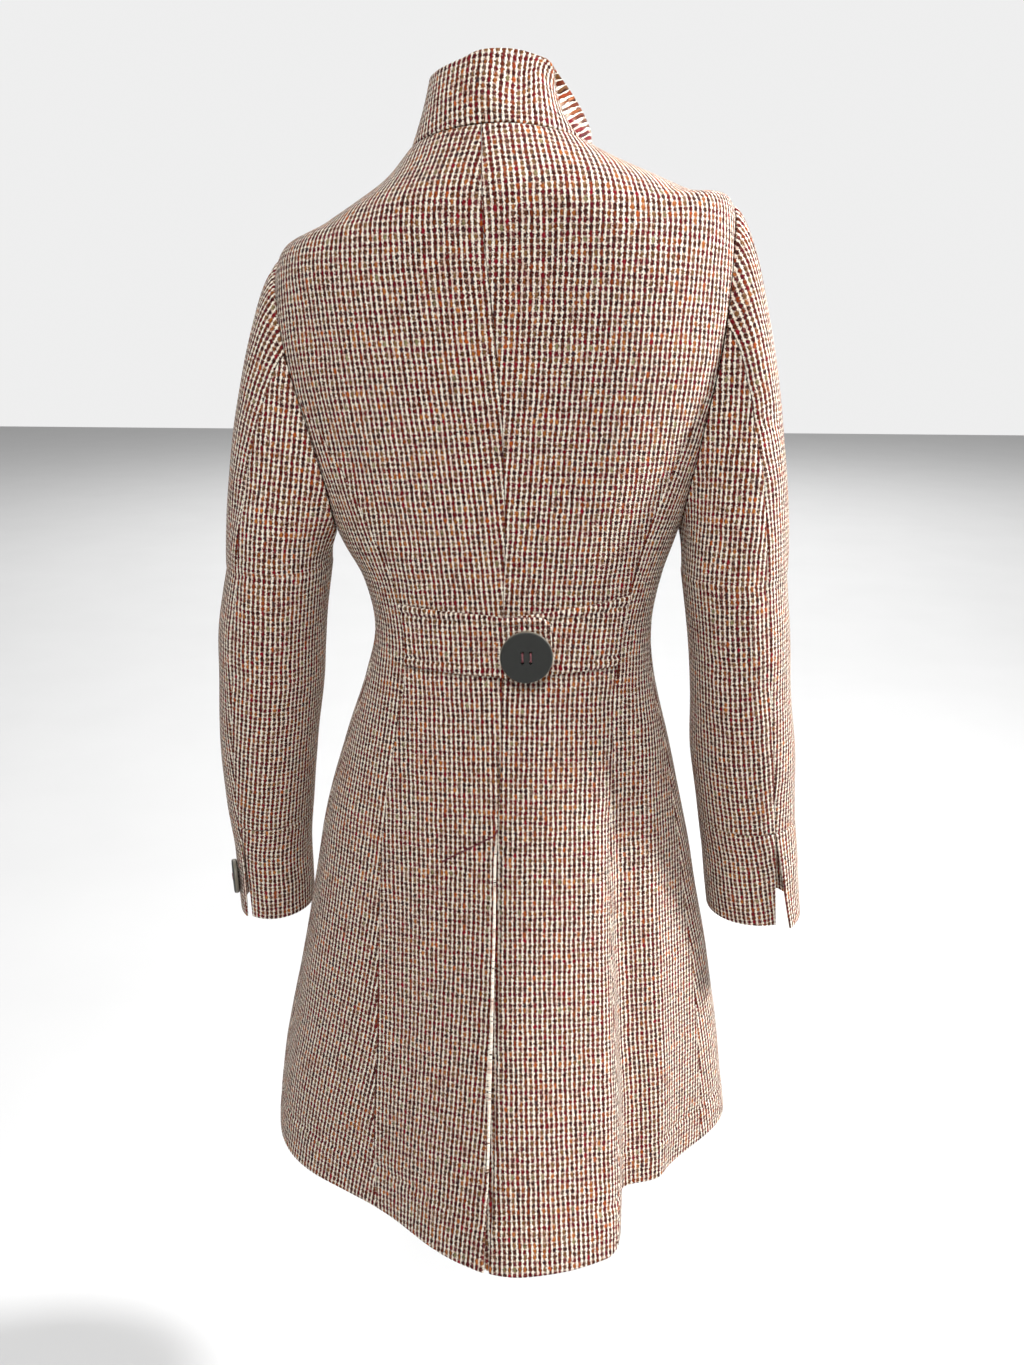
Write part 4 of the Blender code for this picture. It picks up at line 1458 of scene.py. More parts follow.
        def read_flat(at_row: Array, at_column: Array) -> Array:
            """Reads the flat pattern at places of the form.

            Args:
                at_row: Rows of the form.
                at_column: Columns of the form.

            Returns:
                The flat places.
            """
            low = smooth(first, rows, at_row)
            high = smooth(last, rows, at_row)
            part = (at_column - low) / (high - low)
            lines = smooth(flat, rows, at_row)
            spans = len(shares) - 1
            k = np.clip((np.clip(part, 0.0, 1.0) * spans).astype(int), 0, spans - 1)
            before = 2 * lines[..., :1, :] - lines[..., 1:2, :]
            after = 2 * lines[..., -1:, :] - lines[..., -2:-1, :]
            padded = np.concatenate([before, lines, after], axis=-2)
            near = [
                np.take_along_axis(padded, (k + n)[..., None, None], axis=-2)[..., 0, :] for n in range(4)
            ]
            x = (part * spans - k)[..., None]
            return bent(near[1], (near[2] - near[0]) / 2, near[2], (near[3] - near[1]) / 2, x)

        where, top, foot = self.grain
        ends = np.array([top, foot])
        middle_rows = rows[0] + (rows[-1] - rows[0]) * ends
        low, high = smooth(first, rows, middle_rows), smooth(last, rows, middle_rows)
        head, tail = read_flat(middle_rows, low + (high - low) * where)
        run = unit(head - tail)
        turn = np.array([[run[1], run[0]], [-run[0], run[1]]])
        return (read_flat(row, column) - tail) @ turn

    def rolls(self, points: Array) -> tuple[Array, Array]:
        """How far the outer and inner faces close in towards each finished edge.

        Args:
            points: The piece's grid of points.

        Returns:
            The distances for the outer and for the inner face.
        """
        wide = np.linalg.norm(np.diff(points, axis=1), axis=-1)
        tall = np.linalg.norm(np.diff(points, axis=0), axis=-1)
        left = np.concatenate([np.zeros((len(points), 1)), np.cumsum(wide, axis=1)], axis=1)
        top = np.concatenate([np.zeros((1, points.shape[1])), np.cumsum(tall, axis=0)], axis=0)
        gone = (left, left[:, -1:] - left, top, top[-1:, :] - top)
        outer = np.zeros(left.shape)
        inner = np.zeros(left.shape)
        for edge, away in zip(self.edges, gone):
            radius, depth = edge.value
            near = np.clip(1.0 - away / radius, 0.0, 1.0)
            closing = depth * (1.0 - np.sqrt(np.clip(1.0 - near**2, 0.0, 1.0)))
            outer = np.maximum(outer, closing)
            if edge is Edge.FOLD:
                inner = np.maximum(inner, closing)
        return outer, inner

    @staticmethod
    def unevenness(points: Array) -> Array:
        """The slight ripple of soft cloth, from a few long waves that don't line up.

        Args:
            points: Points of the cloth.

        Returns:
            How far each is pushed out, in metres.
        """
        x, y, z = points[..., 0], points[..., 1], points[..., 2]
        ripple = np.sin(61 * x + 23 * z + 0.7) * np.sin(47 * y - 31 * z + 1.9)
        ripple = ripple + 0.3 * np.sin(113 * x - 61 * z + 2.1) * np.sin(97 * y + 19 * z)
        return RIPPLE * ripple

    def shell(self, cut: Cut) -> bpy.types.Mesh:
        """Closes the two faces of a cut with a rim and maps its flat pattern on to them.

        Args:
            cut: The sampled piece.

        Returns:
            The closed mesh, whose map "Cloth" is in metres.
        """
        rows, columns = cut.outer.shape[:2]
        count = rows * columns
        index = np.arange(count).reshape(rows, columns)
        a, b, c, d = index[:-1, :-1], index[1:, :-1], index[1:, 1:], index[:-1, 1:]
        outside = np.stack([a, b, c, d], axis=-1).reshape(-1, 4)
        inside = np.stack([a, d, c, b], axis=-1).reshape(-1, 4) + count
        loop = np.concatenate([index[:, 0], index[-1, 1:], index[-2::-1, -1], index[0, -2:0:-1]])
        ahead = np.roll(loop, -1)
        rim = np.stack([loop, loop + count, ahead + count, ahead], axis=-1)
        faces = np.concatenate([outside, inside, rim])
        vertices = np.concatenate([cut.outer.reshape(-1, 3), cut.inner.reshape(-1, 3)])
        mesh = bpy.data.meshes.new(self.name)
        mesh.from_pydata(vertices.tolist(), [], faces.tolist())
        flat = cut.flat.reshape(-1, 2)
        outward = unit(flat - flat.mean(axis=0)) * self.thickness
        places = np.concatenate([flat, flat + np.array(INSIDE_SHIFT)])[faces.ravel()]
        rim_places = [flat[loop], flat[loop] + outward[loop], flat[ahead] + outward[ahead], flat[ahead]]
        places[-4 * len(rim) :] = np.stack(rim_places, axis=1).reshape(-1, 2)
        mesh.uv_layers.new(name="Cloth").uv.foreach_set("vector", places.ravel())
        clean = bmesh.new()
        clean.from_mesh(mesh)
        bmesh.ops.recalc_face_normals(clean, faces=clean.faces)
        clean.to_mesh(mesh)
        clean.free()
        mesh.shade_smooth()
        mesh.materials.append(self.finish.material())
        return mesh

    def build(self) -> bpy.types.Object:
        """Makes the shell and seats it on its solid.

        Returns:
            The piece's object.
        """
        cut = self.cut()
        piece = linked(f"cloth_{self.name}", self.shell(cut))
        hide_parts(self.name)
        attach(piece, "root")
        return piece


class Panel(Enum):
    """The body's panels."""

    BACK = "back"
    SIDE_BACK = "side_back"
    SIDE_FRONT = "side_front"
    FRONT = "front"


@dataclass
class BodyPanel(ClothPiece):
    """A long panel of the body, from its top level to the hem."""

    panel: Panel = Panel.BACK
    side: Side = Side.LEFT
    first_level: float = 0.0

    def armhole(self, level: Array, column: str) -> Array:
        """The armhole's back or front edge, or the shoulder seam above it."""
        edge = read(ARMHOLES, "level", column, np.clip(level, SHOULDER_LEVEL, UNDERARM_LEVEL))
        return np.where(level <= SHOULDER_LEVEL, 90.0, edge)

    def seam(self, level: Array, column: str) -> Array:
        """A long seam below the level where it leaves the armhole."""
        return read(SEAMS, "level", column, np.clip(level, JOIN_LEVEL, HEM_LEVEL))

    def far(self, level: Array, column: str) -> Array:
        """The outer edge of a back or front panel."""
        above = self.armhole(level, column)
        return np.where(level < JOIN_LEVEL, above, self.seam(level, column))

    def ends(self, level: Array) -> tuple[Array, Array]:
        """The two seams that bound the panel, in degrees towards its own side.

        Args:
            level: Levels of the body.

        Returns:
            The seam nearer to the centre back, and the other one.
        """
        if self.panel is Panel.BACK:
            centre = read(CENTRES, "level", "angle", level) * self.side.value
            return centre, self.far(level, "back")
        if self.panel is Panel.FRONT:
            return self.far(level, "front"), np.full(level.shape, 180.0)
        side_seam = self.seam(np.maximum(level, UNDERARM_LEVEL), "side")
        above = level < UNDERARM_LEVEL
        if self.panel is Panel.SIDE_BACK:
            return self.seam(level, "back"), np.where(above, self.armhole(level, "back"), side_seam)
        return np.where(above, self.armhole(level, "front"), side_seam), self.seam(level, "front")

    def place(self, t: Array, s: Array) -> tuple[Array, Array, Array]:
        """Where a share of the panel's length and width lies on the body.

        Args:
            t: Shares of the piece's length.
            s: Shares of its width.

        Returns:
            The rows and columns of the form, and how far out of it the piece lies.
        """
        level = self.first_level + (HEM_LEVEL - self.first_level) * t
        first, last = self.ends(level)
        gap = self.form.degrees(level, self.side.value * (first + last) / 2, SEAM_GAP / 2)
        if self.panel is Panel.BACK and self.side is Side.RIGHT:
            return self.place_vent(level, s, first, last - gap)
        if self.panel is Panel.FRONT:
            return self.place_lap(level, s, first + gap)
        first, last = first + gap, last - gap
        return level, self.side.value * (first + (last - first) * s), np.zeros(np.shape(t))

    def guide(self, row: Array) -> tuple[Array, Array]:
        """The angles between which the panel is laid flat; they pass smoothly by the armhole.

        Args:
            row: Levels of the body.

        Returns:
            The angles at the panel's two long edges.
        """
        level = np.asarray(row, float)
        name = {Panel.BACK: "back", Panel.FRONT: "front"}.get(self.panel)
        if name is None:
            first, last = self.seam(level, "back"), self.seam(level, "side")
            if self.panel is Panel.SIDE_FRONT:
                first, last = self.seam(level, "side"), self.seam(level, "front")
            return self.side.value * first, self.side.value * last
        far = self.seam(np.maximum(level, UNDERARM_LEVEL), name)
        wide = read(SEAMS, "level", name, np.full(level.shape, UNDERARM_LEVEL))
        easing = 1.0 - step(2.0, UNDERARM_LEVEL, level)
        far = np.where(level < UNDERARM_LEVEL, wide + (90.0 - wide) * easing, far)
        if self.panel is Panel.BACK:
            return read(CENTRES, "level", "angle", level), self.side.value * far
        return self.side.value * far, np.full(level.shape, self.side.value * 180.0)

    @property
    def is_flap(self) -> bool:
        """Whether the panel carries the vent's flap, which lies on top."""
        return self.panel is Panel.BACK and self.side is Side.LEFT

    def pattern(self, t: Array, s: Array) -> Array:
        """The flat panel; a cream cord runs along the vent flap's folded edge.

        Args:
            t: Shares of the piece's length.
            s: Shares of its width.

        Returns:
            The flat place of each point in metres.
        """
        flat = super().pattern(t, s)
        if not self.is_flap:
            return flat
        level, column, _ = self.place(t, s)
        z = self.form.bare(level, column)[..., 2]
        edge = (z < VENT.top_z - VENT.cord_drop) & (z > VENT.cord_foot_z) & (s < VENT.cord_share)
        cord, middle = self.finish.cord, self.finish.cord_middle
        cord_lines = (np.floor(flat[..., 0] / cord) + middle) * cord
        flat[..., 0] = np.where(edge, np.median(cord_lines[edge]), flat[..., 0])
        return flat

    def place_vent(self, level: Array, s: Array, centre: Array, far: Array) -> tuple[Array, Array, Array]:
        """The right back, which runs on beneath the vent's left flap.

        Args:
            level: Levels of the body.
            s: Shares of the panel's width, from its side back seam.
            centre: The centre back seam's angles.
            far: The side back seam's angles.

        Returns:
            The levels, the angles and how far out the cloth lies.
        """
        per_metre = self.form.degrees(level, np.zeros(level.shape), 1.0)
        z = self.form.bare(level, -centre)[..., 2]
        reach = VENT.lap * np.clip((VENT.top_z - z) / VENT.slant, 0.0, 1.0)
        half_gap = SEAM_GAP / 2
        bend, fold = centre + VENT.bend * per_metre, centre + VENT.fold * per_metre
        end = centre - np.maximum(reach - half_gap, -half_gap) * per_metre
        dip = (CLOTH + SEAM_GAP) * step(VENT.top_z + VENT.dip_run, VENT.top_z, z)
        high, low = VENT.trough_heights
        trough = VENT.trough * step(VENT.top_z + high, VENT.top_z + low, z)
        trough = trough * step(*VENT.trough_start, s) * (1.0 - step(*VENT.trough_end, s))
        return level, -legs(s, VENT.shares, (far, bend, fold, end)), -dip * step(*VENT.dip_shares, s) - trough

    def place_lap(self, level: Array, s: Array, first: Array) -> tuple[Array, Array, Array]:
        """A front: the right one laps over past the centre, the left one passes beneath it.

        Args:
            level: Levels of the body.
            s: Shares of the panel's width, from its side front seam.
            first: The side front seam's angles.

        Returns:
            The levels, the angles and how far out the cloth lies.
        """
        per_metre = self.form.degrees(level, np.full(level.shape, 180.0), 1.0)
        lap = FRONT_LAP * per_metre
        if self.side is Side.RIGHT:
            return level, -(first + (180.0 + lap - first) * s), np.zeros(level.shape)
        cover = 180.0 - lap
        angle = legs(s, LAP.shares, (first, cover - LAP.bend * per_metre, cover, cover + 2 * lap))
        return level, angle, -(CLOTH + LAP_GAP) * step(*LAP.dip_shares, s)

    def dress(self, points: Array, t: Array, s: Array) -> Array:
        """The pressed line of the turned-up hem, and the vent flap's lift.

        Args:
            points: Points of the piece.
            t: Shares of its length; not used.
            s: Shares of its width.

        Returns:
            How far the cloth is pushed out there, in metres.
        """
        z = points[..., 2]
        relief = HEM.fuller * step(*HEM.fuller_heights, z) - HEM.depth * bell(z - HEM.line_z, HEM.width)
        if self.is_flap:
            opened = step(VENT.top_z, VENT.top_z - VENT.dip_run, z)
            relief = relief + VENT.flap_lift * bell(np.clip(s, 0.0, None), VENT.flap_share) * opened
        return relief


@dataclass
class SleevePiece(ClothPiece):
    """The upper or the under sleeve."""

    first_side: float = BACK_SEAM_SIDE
    last_side: float = FRONT_SEAM_SIDE
    trim: float = 0.012

    def place(self, t: Array, s: Array) -> tuple[Array, Array, Array]:
        """Where a share of the sleeve's length and width lies on the arm."""
        first, last = self.first_side + self.trim, self.last_side - self.trim
        return 2.0 * t, first + (last - first) * s, np.zeros(np.shape(t))


@dataclass
class CuffPiece(ClothPiece):
    """A cuff band."""

    def place(self, t: Array, s: Array) -> tuple[Array, Array, Array]:
        """Where a share of the cuff's depth and length lies on the band."""
        return t, SLEEVE_SIDES * s, np.zeros(np.shape(t))


@dataclass
class CollarPiece(ClothPiece):
    """The stand collar, whose right end rolls outward in a lip beyond a soft crease.

    Angles are in degrees. The crease leans towards the back in its upper part. The lip's cords run
    along lip_run, and lip_bead is the share of a bead at which they are cut.
    """

    crease_angle: float = -73.0
    crease_lean: float = 18.0
    crease_width: float = 3.2
    crease_depth: float = 0.0022
    lip_end: float = -118.0
    lip_run: Triple = (-0.465, -0.108, -0.874)
    lip_bead: float = 0.3
    lip_rise: float = 0.006

    def crease(self, row: Array) -> Array:
        """The angle of the crease at each row."""
        return self.crease_angle + self.crease_lean * np.clip(row, 0.0, 1.0) ** 3

    def place(self, t: Array, s: Array) -> tuple[Array, Array, Array]:
        """Where a share of the collar's height and length lies; t runs down from the top edge."""
        first, last = COLLAR[0].angle, COLLAR[-1].angle
        return 1.0 - t, first + (last - first) * s, np.zeros(np.shape(t))

    def dress(self, points: Array, t: Array, s: Array) -> Array:
        """The soft crease along the rolled lip."""
        row, column, _ = self.place(t, s)
        return -self.crease_depth * bell(column - self.crease(row), self.crease_width)

    def pattern(self, t: Array, s: Array) -> Array:
        """The flat band; on the lip beyond the crease its cords meet the edge squarely.

        Args:
            t: Shares of the piece's length.
            s: Shares of its width.

        Returns:
            The flat place of each point in metres.
        """
        flat = super().pattern(t, s)
        row, column, _ = self.place(t, s)
        along = self.form.bare(row, column) @ np.array(self.lip_run)
        turned = np.stack([along, self.lip_bead * self.finish.bead + self.lip_rise * row], axis=-1)
        rolled = (column < self.crease(row)) & (column > self.lip_end)
        return np.where(rolled[..., None], turned, flat)


class BeltRise(NamedTuple):
    """How far a belt half rises from the centre to its outer end, in levels, at both edges."""

    upper: float
    lower: float


BELT_RISE = {Side.LEFT: BeltRise(0.13, 0.11), Side.RIGHT: BeltRise(0.24, 0.07)}

@dataclass
class BeltHalf(ClothPiece):
    """Half of the half belt, which lies on the back panels.

    The left half laps over the right one past the centre, and its end is rounded. It comes down
    from above the right half's end within the first part of its length.
    """

    side: Side = Side.LEFT
    overlap: float = 0.041
    underlap: float = 0.012
    rounding: float = 0.014
    end_depth: float = 0.55
    drop_part: float = 8.0
    depth: float = 0.054
    groove_in: float = 0.008
    groove: float = 0.0014
    groove_width: float = 0.0015
    rim_in: float = 0.0038
    rim: float = 0.0009
    rim_width: float = 0.0022

    def risen(self, level: Array, down: Array, share: Array) -> Array:
        """A belt row's level at a share of the way from the centre to the outer end."""
        rise = BELT_RISE[self.side]
        return level - (rise.upper + (rise.lower - rise.upper) * down) * np.clip(share, 0.0, 1.0)

    def place(self, t: Array, s: Array) -> tuple[Array, Array, Array]:
        """Where a share of the belt's depth and length lies on the back.

        Args:
            t: Shares of the piece's length.
            s: Shares of its width.

        Returns:
            The rows and columns of the form, and how far out of it the piece lies.
        """
        level = BELT_TOP + (BELT_FOOT - BELT_TOP) * t
        near = SEAM_GAP + BELT_CLOTH
        far = near + SEAM_GAP + BELT_CLOTH
        centre = read(CENTRES, "level", "angle", level)
        seam = read(SEAMS, "level", "back", level)
        outer = seam - self.form.degrees(level, seam, SEAM_GAP)
        per_metre = self.form.degrees(level, centre, 1.0)
        if self.side is Side.RIGHT:
            last = centre - self.underlap * per_metre
            return self.risen(level, t, 1.0 - s), -outer + (last + outer) * s, np.full(np.shape(t), near)
        last = centre - self.overlap * per_metre
        angle = outer + (last - outer) * s
        out_share = (angle - centre) / (seam - centre)
        lift = far + (near - far) * step(0.0, 1.0, out_share * self.drop_part)
        ending = np.clip((angle - last) / (self.rounding * per_metre), 0.0, 1.0)
        depth = self.end_depth + (1.0 - self.end_depth) * np.sqrt(1.0 - (1.0 - ending) ** 2)
        middle = (BELT_TOP + BELT_FOOT) / 2
        return middle + (self.risen(level, t, out_share) - middle) * depth, angle, lift

    def dress(self, points: Array, t: Array, s: Array) -> Array:
        """The pressed groove of each row of topstitching, inside the belt's full, rounded edges."""
        away = self.depth * np.minimum(t, 1.0 - t)
        full = self.rim * bell(away - self.rim_in, self.rim_width)
        return full - self.groove * bell(away - self.groove_in, self.groove_width)


# Buttons


def tube(mesh: bmesh.types.BMesh, path: Sequence[Vector], radius: float, sides: int = 6) -> None:
    """Adds a closed tube along a path.

    Args:
        mesh: The mesh that is worked on.
        path: The points of its middle.
        radius: Its radius in metres.
        sides: How many sides it has.
    """
    rings = []
    for k, point in enumerate(path):
        ahead = (path[min(k + 1, len(path) - 1)] - path[max(k - 1, 0)]).normalized()
        across = Vector((1.0, 0.0, 0.0))
        up = ahead.cross(across).normalized()
        rings.append([
            mesh.verts.new(point + (across * math.cos(a) + up * math.sin(a)) * radius)
            for a in (2 * math.pi * j / sides for j in range(sides))
        ])
    for one, two in zip(rings, rings[1:]):
        for j in range(sides):
            n = (j + 1) % sides
            mesh.faces.new((one[j], one[n], two[n], two[j]))
    mesh.faces.new(reversed(rings[0]))
    mesh.faces.new(rings[-1])


@dataclass
class Button:
    """A flat turned button with four holes, sewn on with two bars of thread.

    The sizes of its holes and thread are those of the big button, and smaller ones are scaled.
    """

    node: str
    size: float = BIG_BUTTON
    seat: Matrix = field(default_factory=Matrix)
    steps: int = 96
    rim_steps: int = 8
    rim_round: float = 0.0014
    hole_spacing: float = 0.0068
    hole_size: float = 0.0030
    strand_gap: float = 0.00042
    strand_radius: float = 0.00034
    strand_bends: int = 12
    strand_dive: float = 0.0022
    strand_rises: Triple = (0.0005, 0.00075, 0.0005)

    @property
    def scale(self) -> float:
        """This button's size as a share of the big one's."""
        return self.size / BIG_BUTTON

    def profile(self) -> list[tuple[float, float]]:
        """Half the section, from the edge of the face's middle round the rim to the back.

        Returns:
            The radius and the height of each ring.
        """
        r, thick, curve = self.size / 2, BUTTON_THICK, self.rim_round
        section = [(r * 0.5, thick * 0.98), (r * 0.9, thick)]
        for k in range(self.rim_steps + 1):
            turn = math.pi / 2 - math.pi * k / self.rim_steps
            section.append((r - curve + curve * math.cos(turn), thick / 2 + thick / 2 * math.sin(turn)))
        return section + [(r * 0.9, 0.0)]

    def turned(self) -> bpy.types.Mesh:
        """The turned body, before its holes.

        Returns:
            The closed mesh.
        """
        mesh = bmesh.new()
        turns = [2 * math.pi * k / self.steps for k in range(self.steps)]
        rings = [
            [mesh.verts.new((radius * math.cos(a), radius * math.sin(a), height)) for a in turns]
            for radius, height in self.profile()
        ]
        for upper, lower in zip(rings, rings[1:]):
            for k in range(self.steps):
                n = (k + 1) % self.steps
                mesh.faces.new((upper[k], lower[k], lower[n], upper[n]))
        mesh.faces.new(rings[0])
        mesh.faces.new(reversed(rings[-1]))
        bmesh.ops.recalc_face_normals(mesh, faces=mesh.faces)
        return finished(f"face_{self.node}", mesh)

    def drills(self) -> bpy.types.Mesh:
        """The four pins that cut the holes.

        Returns:
            The pins' mesh.
        """
        mesh = bmesh.new()
        spacing, radius = self.hole_spacing * self.scale, self.hole_size / 2 * self.scale
        for x in (-0.5, 0.5):
            for y in (-0.6, 0.6):
                spot = Matrix.Translation((x * spacing, y * spacing, 0.0))
                bmesh.ops.create_cone(
                    mesh, cap_ends=True, segments=24, radius1=radius, radius2=radius, depth=0.03,
                    matrix=spot)
        return finished("drill", mesh)

    def body(self) -> bpy.types.Object:
        """The drilled body with its face map and finish.

        Returns:
            The button, lying at the origin.
        """
        disc, bit = linked(f"disc_{self.node}", self.turned()), linked("drill", self.drills())
        cut = disc.modifiers.new("Holes", "BOOLEAN")
        cut.operation, cut.solver, cut.object = "DIFFERENCE", "EXACT", bit
        graph = bpy.context.evaluated_depsgraph_get()
        mesh = bpy.data.meshes.new_from_object(disc.evaluated_get(graph))
        disc.modifiers.clear()
        disc.data = mesh
        bpy.data.objects.remove(bit)
        corners = (mesh.vertices[corner.vertex_index].co for corner in mesh.loops)
        places = [coordinate for co in corners for coordinate in (co.x, co.y)]
        mesh.uv_layers.new(name="Face").uv.foreach_set("vector", places)
        mesh.shade_smooth()
        mesh.set_sharp_from_angle(angle=math.radians(42))
        mesh.materials.clear()
        finish = ButtonFinish(name=f"button_{self.size * 1000:.0f}_mm", radius=self.size / 2)
        mesh.materials.append(finish.material())
        return disc

    def thread(self) -> bpy.types.Object:
        """Two bars of thread between the upper and lower holes, three strands each.

        Returns:
            The thread, lying at the origin.
        """
        mesh = bmesh.new()
        reach = 1.2 * self.hole_spacing * self.scale
        for bar in (-0.5, 0.5):
            for strand, rise in zip((-1.0, 0.0, 1.0), self.strand_rises):
                x = (bar * self.hole_spacing + strand * self.strand_gap) * self.scale
                path = []
                for k in range(self.strand_bends + 1):
                    share = k / self.strand_bends
                    dive = self.strand_dive * (abs(share - 0.5) * 2) ** 6
                    bow = 0.0001 * math.sin(5 * share + strand)
                    height = BUTTON_THICK * 0.97 + rise - dive
                    path.append(Vector((x + bow, (share - 0.5) * reach, height)))
                tube(mesh, path, self.strand_radius * self.scale)
        data = finished(f"thread_{self.node}", mesh)
        data.shade_smooth()
        data.materials.append(ThreadFinish().material())
        return linked(f"thread_{self.node}", data)

    def build(self) -> None:
        """Makes the button and its thread where its solid sits."""
        disc, bars = self.body(), self.thread()
        for made in (disc, bars):
            made.data.transform(self.seat)
        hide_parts(self.node)
        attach(disc, "root")
        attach(bars, "root")
        LOG.info("%s: %.0f mm across", self.node, self.size * 1000)


def seat_of(node: bpy.types.Object) -> Matrix:
    """Where a button's solid sits: its middle, its face's direction and its upright.

    Args:
        node: The button's solid.

    Returns:
        The place of the middle of its back, facing along its normal.
    """
    points = np.array([vertex.co[:] for vertex in node.data.vertices])
    middle = (points.min(axis=0) + points.max(axis=0)) / 2
    spread = np.linalg.eigh(np.cov((points - middle).T))[1]
    facing = Vector(spread[:, 0])
    away = Vector((middle[0], middle[1], 0.0))
    if abs(middle[0]) > CUFF_X:
        away = Vector((middle[0], 0.0, 0.0))
    if facing.dot(away) < 0:
        facing = -facing
    heights = (points - middle) @ np.array(facing)
    across = Vector((0.0, 0.0, 1.0)).cross(facing).normalized()
    up = facing.cross(across)
    turn = Matrix((across, up, facing)).transposed().to_4x4()
    middle = Vector(middle) + facing * float((heights.max() + heights.min()) / 2 - BUTTON_THICK / 2)
    return Matrix.Translation(middle) @ turn


# The coat and its studio


class Stitching(NamedTuple):
    """A row of stitches on a piece, between two shares of its length and width."""

    name: str
    down: float
    across: float
    end_down: float
    end_across: float
    stitches: int
    lift: float


VENT_STITCHES = (
    Stitching("vent_slant", 0.7187, 0.020, 0.7425, 0.430, 13, 0.0007),
    Stitching("vent_tack", 0.7143, 0.004, 0.7180, 0.018, 3, 0.0010),
)
BELT_STITCHES = (
    Stitching("belt_upper", 0.150, 0.015, 0.150, 0.985, 34, -0.0002),
    Stitching("belt_lower", 0.850, 0.015, 0.850, 0.985, 34, -0.0002),
)


@dataclass
class StitchRow:
    """A row of short stitches of thread that lies in a piece's surface."""

    row: Stitching
    piece: ClothPiece
    thread: ThreadFinish
    radius: float
    filled: float = 0.8
    points: int = 7
    dive: float = 0.0012

    def build(self) -> None:
        """Makes each stitch as a short bent tube."""
        mesh = bmesh.new()
        row, piece = self.row, self.piece
        dive = self.dive * np.linspace(-1.0, 1.0, self.points) ** 4
        for k in range(row.stitches):
            share = (k + np.linspace(0.0, self.filled, self.points)) / row.stitches
            t = row.down + (row.end_down - row.down) * share
            s = row.across + (row.end_across - row.across) * share
            points, normal = piece.surface(t, s)
            path = points + normal * (piece.relief(points, t, s) + row.lift - dive)[:, None]
            tube(mesh, [Vector(point) for point in path], self.radius)
        name = f"{row.name}_{piece.name}"
        data = finished(name, mesh)
        data.shade_smooth()
        data.materials.append(self.thread.material())
        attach(linked(name, data), "root")
        LOG.info("%s: %d stitches", name, row.stitches)


@dataclass
class Coat:
    """The whole coat: body, sleeves, collar, belt and buttons."""

    nodes: dict[str, bpy.types.Object]
    body: BodyForm = field(default_factory=lambda: BodyForm(creases=BODY_CREASES))
    # The wine thread's two colours are painted light and shade of its twist.
    wine_thread: ThreadFinish = ThreadFinish("wine_thread", rgb(128, 30, 48), rgb(58, 16, 22))
    wine_radius: float = 0.0009
    belt_thread: ThreadFinish = ThreadFinish()
    belt_radius: float = 0.0005

    def build_body(self) -> None:
        """The eight long panels and the stitches of the vent."""
        seam, fold = Edge.SEAM, Edge.FOLD
        for side in Side:
            word = side.word
            back = BodyPanel(
                name=f"back_{word}", form=self.body, rows=330, columns=56, panel=Panel.BACK, side=side,
                edges=(seam, seam, seam, fold) if side is Side.LEFT else (seam, fold, seam, fold),
                grain=(0.3, 0.1, 0.9), hangs_from=("collar",))
            back.build()
            if side is Side.LEFT:
                for row in VENT_STITCHES:
                    StitchRow(row, back, self.wine_thread, self.wine_radius).build()
            BodyPanel(
                name=f"front_{word}", form=self.body, rows=240, columns=40, panel=Panel.FRONT, side=side,
                edges=(seam, fold, seam, fold), grain=(0.6, 0.1, 0.9), hangs_from=("collar",)).build()
            for panel in (Panel.SIDE_BACK, Panel.SIDE_FRONT):
                BodyPanel(
                    name=f"{panel.value}_{word}", form=self.body, rows=200, columns=24, panel=panel,
                    side=side, first_level=JOIN_LEVEL, grain=(0.5, 0.2, 0.9),
                    hangs_from=(f"back_{word}",)).build()

    def build_sleeves(self) -> None:
        """Upper and under sleeves and their cuffs."""
        seam, fold = Edge.SEAM, Edge.FOLD
        back, front = BACK_SEAM_SIDE, FRONT_SEAM_SIDE
        parts = {"under_sleeve": (back, front), "upper_sleeve": (front, back + SLEEVE_SIDES)}
        for side in Side:
            sleeve = SleeveForm(
                side=side, body=self.body, creases=SLEEVE_CREASES[side], facing=-float(side.value))
            for part, (first, last) in parts.items():
                SleevePiece(
                    name=f"{part}_{side.word}", form=sleeve, rows=110, columns=26,
                    edges=(seam, seam, seam, seam), first_side=first, last_side=last,
                    grain=(0.5, 0.55, 0.95), hangs_from=(f"back_{side.word}",)).build()
            CuffPiece(
                name=f"cuff_{side.word}", form=CuffForm(side=side, sleeve=sleeve, facing=float(side.value)),
                rows=24, columns=56, edges=(fold, fold, seam, fold),
                hangs_from=(f"under_sleeve_{side.word}",)).build()

    def build_collar(self) -> None:
        """The stand collar."""
        CollarPiece(
            name="collar", form=CollarForm(body=self.body), thickness=COLLAR_CLOTH, rows=44, columns=200,
            edges=(Edge.FOLD, Edge.FOLD, Edge.FOLD, Edge.SEAM),
            hangs_from=("back_left", "back_right"), held="folded").build()

    def build_belt(self) -> None:
        """Both halves of the half belt and their topstitching."""
        for side in Side:
            half = BeltHalf(
                name=f"half_belt_{side.word}", form=self.body, thickness=BELT_CLOTH, rows=64, columns=44,
                side=side, edges=(Edge.SEAM, Edge.FOLD, Edge.FOLD, Edge.FOLD),
                hangs_from=(f"back_{side.word}",), held="laid")
            half.build()
            for row in BELT_STITCHES:
                StitchRow(row, half, self.belt_thread, self.belt_radius, filled=0.72).build()

    def build_buttons(self) -> None:
        """Every button, seated where its solid is."""
        for name, node in self.nodes.items():
            if "button" in name:
                size = CUFF_BUTTON if "cuff" in name else BIG_BUTTON
                Button(node=name, size=size, seat=seat_of(node)).build()

    def build(self) -> None:
        """Builds the coat, sub-assembly by sub-assembly."""
        self.build_body()
        self.build_sleeves()
        self.build_collar()
        self.build_belt()
        self.build_buttons()


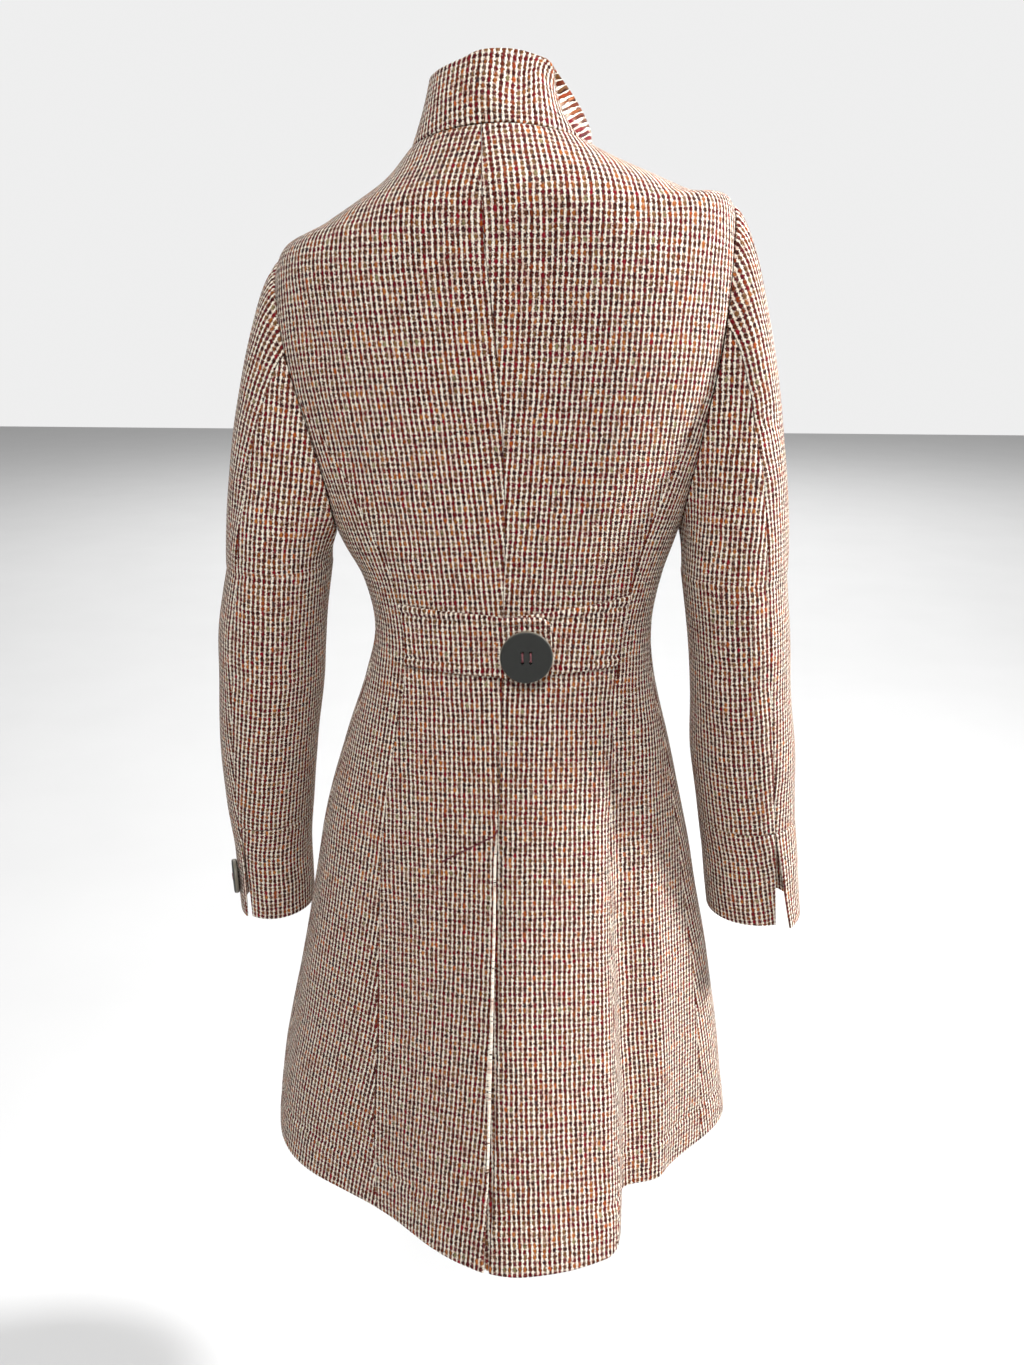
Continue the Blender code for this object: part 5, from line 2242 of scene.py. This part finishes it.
class Lamp(NamedTuple):
    """A soft square light: its place, what it points at, its size in metres and its power in watts."""

    name: str
    place: Triple
    aim: Triple
    size: float
    power: float


LAMPS = (
    Lamp("key", (-0.05, 1.8, 1.6), (0.0, 0.0, -0.30), 1.2, 62.0),
    Lamp("window", (-2.1, -0.30, 1.0), (0.0, 0.0, -0.45), 0.25, 118.0),
    Lamp("back", (0.9, -2.6, 1.2), (0.0, 0.0, -0.45), 2.0, 10.0),
    Lamp("floor_wash", (0.0, -5.5, 2.6), (0.0, -5.51, -1.4), 6.0, 270.0),
)


@dataclass
class Studio:
    """The pale floor, the soft lights and the camera.

    The walls are pale all round. Their light changes along Y between wall_ends, from what the wall
    beyond the coat's front gives to what the rest gives.
    """

    floor_z: float = -1.42
    floor_half: float = 12.0
    camera_place: Triple = (-0.0872, 0.9962, -0.128)
    camera_turn: Triple = (72.0, 0.0, 185.0)
    lens: float = 30.33
    sensor: float = 36.0
    wall_ends: Pair = (-0.75, 0.10)
    wall_light: Pair = (0.86, 0.20)

    def light(self, lamp: Lamp) -> None:
        """Hangs one light.

        Args:
            lamp: The light's place, aim, size and power.
        """
        data = bpy.data.lights.new(lamp.name, "AREA")
        data.shape, data.size, data.energy = "SQUARE", lamp.size, lamp.power
        holder = linked(lamp.name, data)
        holder.location = lamp.place
        way = Vector(lamp.aim) - Vector(lamp.place)
        holder.rotation_euler = way.to_track_quat("-Z", "Y").to_euler()

    def floor(self) -> None:
        """A wide pale floor."""
        mesh = bmesh.new()
        bmesh.ops.create_grid(mesh, x_segments=8, y_segments=8, size=self.floor_half)
        plane = linked("floor", finished("floor", mesh))
        plane.location.z = self.floor_z
        plane.data.materials.append(FloorFinish().material())

    def surround(self) -> None:
        """Pale walls all round, the one beyond the coat's front the best lit."""
        world = bpy.data.worlds.new("studio")
        bpy.context.scene.world = world
        bench = Bench(world)
        across = bench.part(bench.add("ShaderNodeTexCoord", {}, {}, "Generated"), 1)
        limits = dict(enumerate((across, *self.wall_ends, *self.wall_light)))
        strength = bench.add("ShaderNodeMapRange", {}, limits)
        walls = bench.add("ShaderNodeBackground", {}, {0: (1.0, 1.0, 1.0, 1.0), 1: strength})
        bench.node("ShaderNodeOutputWorld", {}, {0: walls})

    def camera(self) -> None:
        """The camera behind the coat, at about the height of its shoulders."""
        eye = bpy.data.cameras.new("camera")
        eye.lens, eye.sensor_width = self.lens, self.sensor
        camera = linked("camera", eye)
        camera.location = self.camera_place
        camera.rotation_euler = tuple(math.radians(a) for a in self.camera_turn)
        bpy.context.scene.camera = camera

    def build(self) -> None:
        """Sets the stage."""
        self.floor()
        for lamp in LAMPS:
            self.light(lamp)
        self.surround()
        self.camera()
        bpy.context.scene.view_settings.view_transform = "Standard"


def main() -> None:
    """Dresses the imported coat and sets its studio."""
    logging.basicConfig(level=logging.INFO, format="%(message)s")
    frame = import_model()
    Coat(nodes=frame["nodes"]).build()
    Studio().build()


if __name__ == "__main__":
    main()
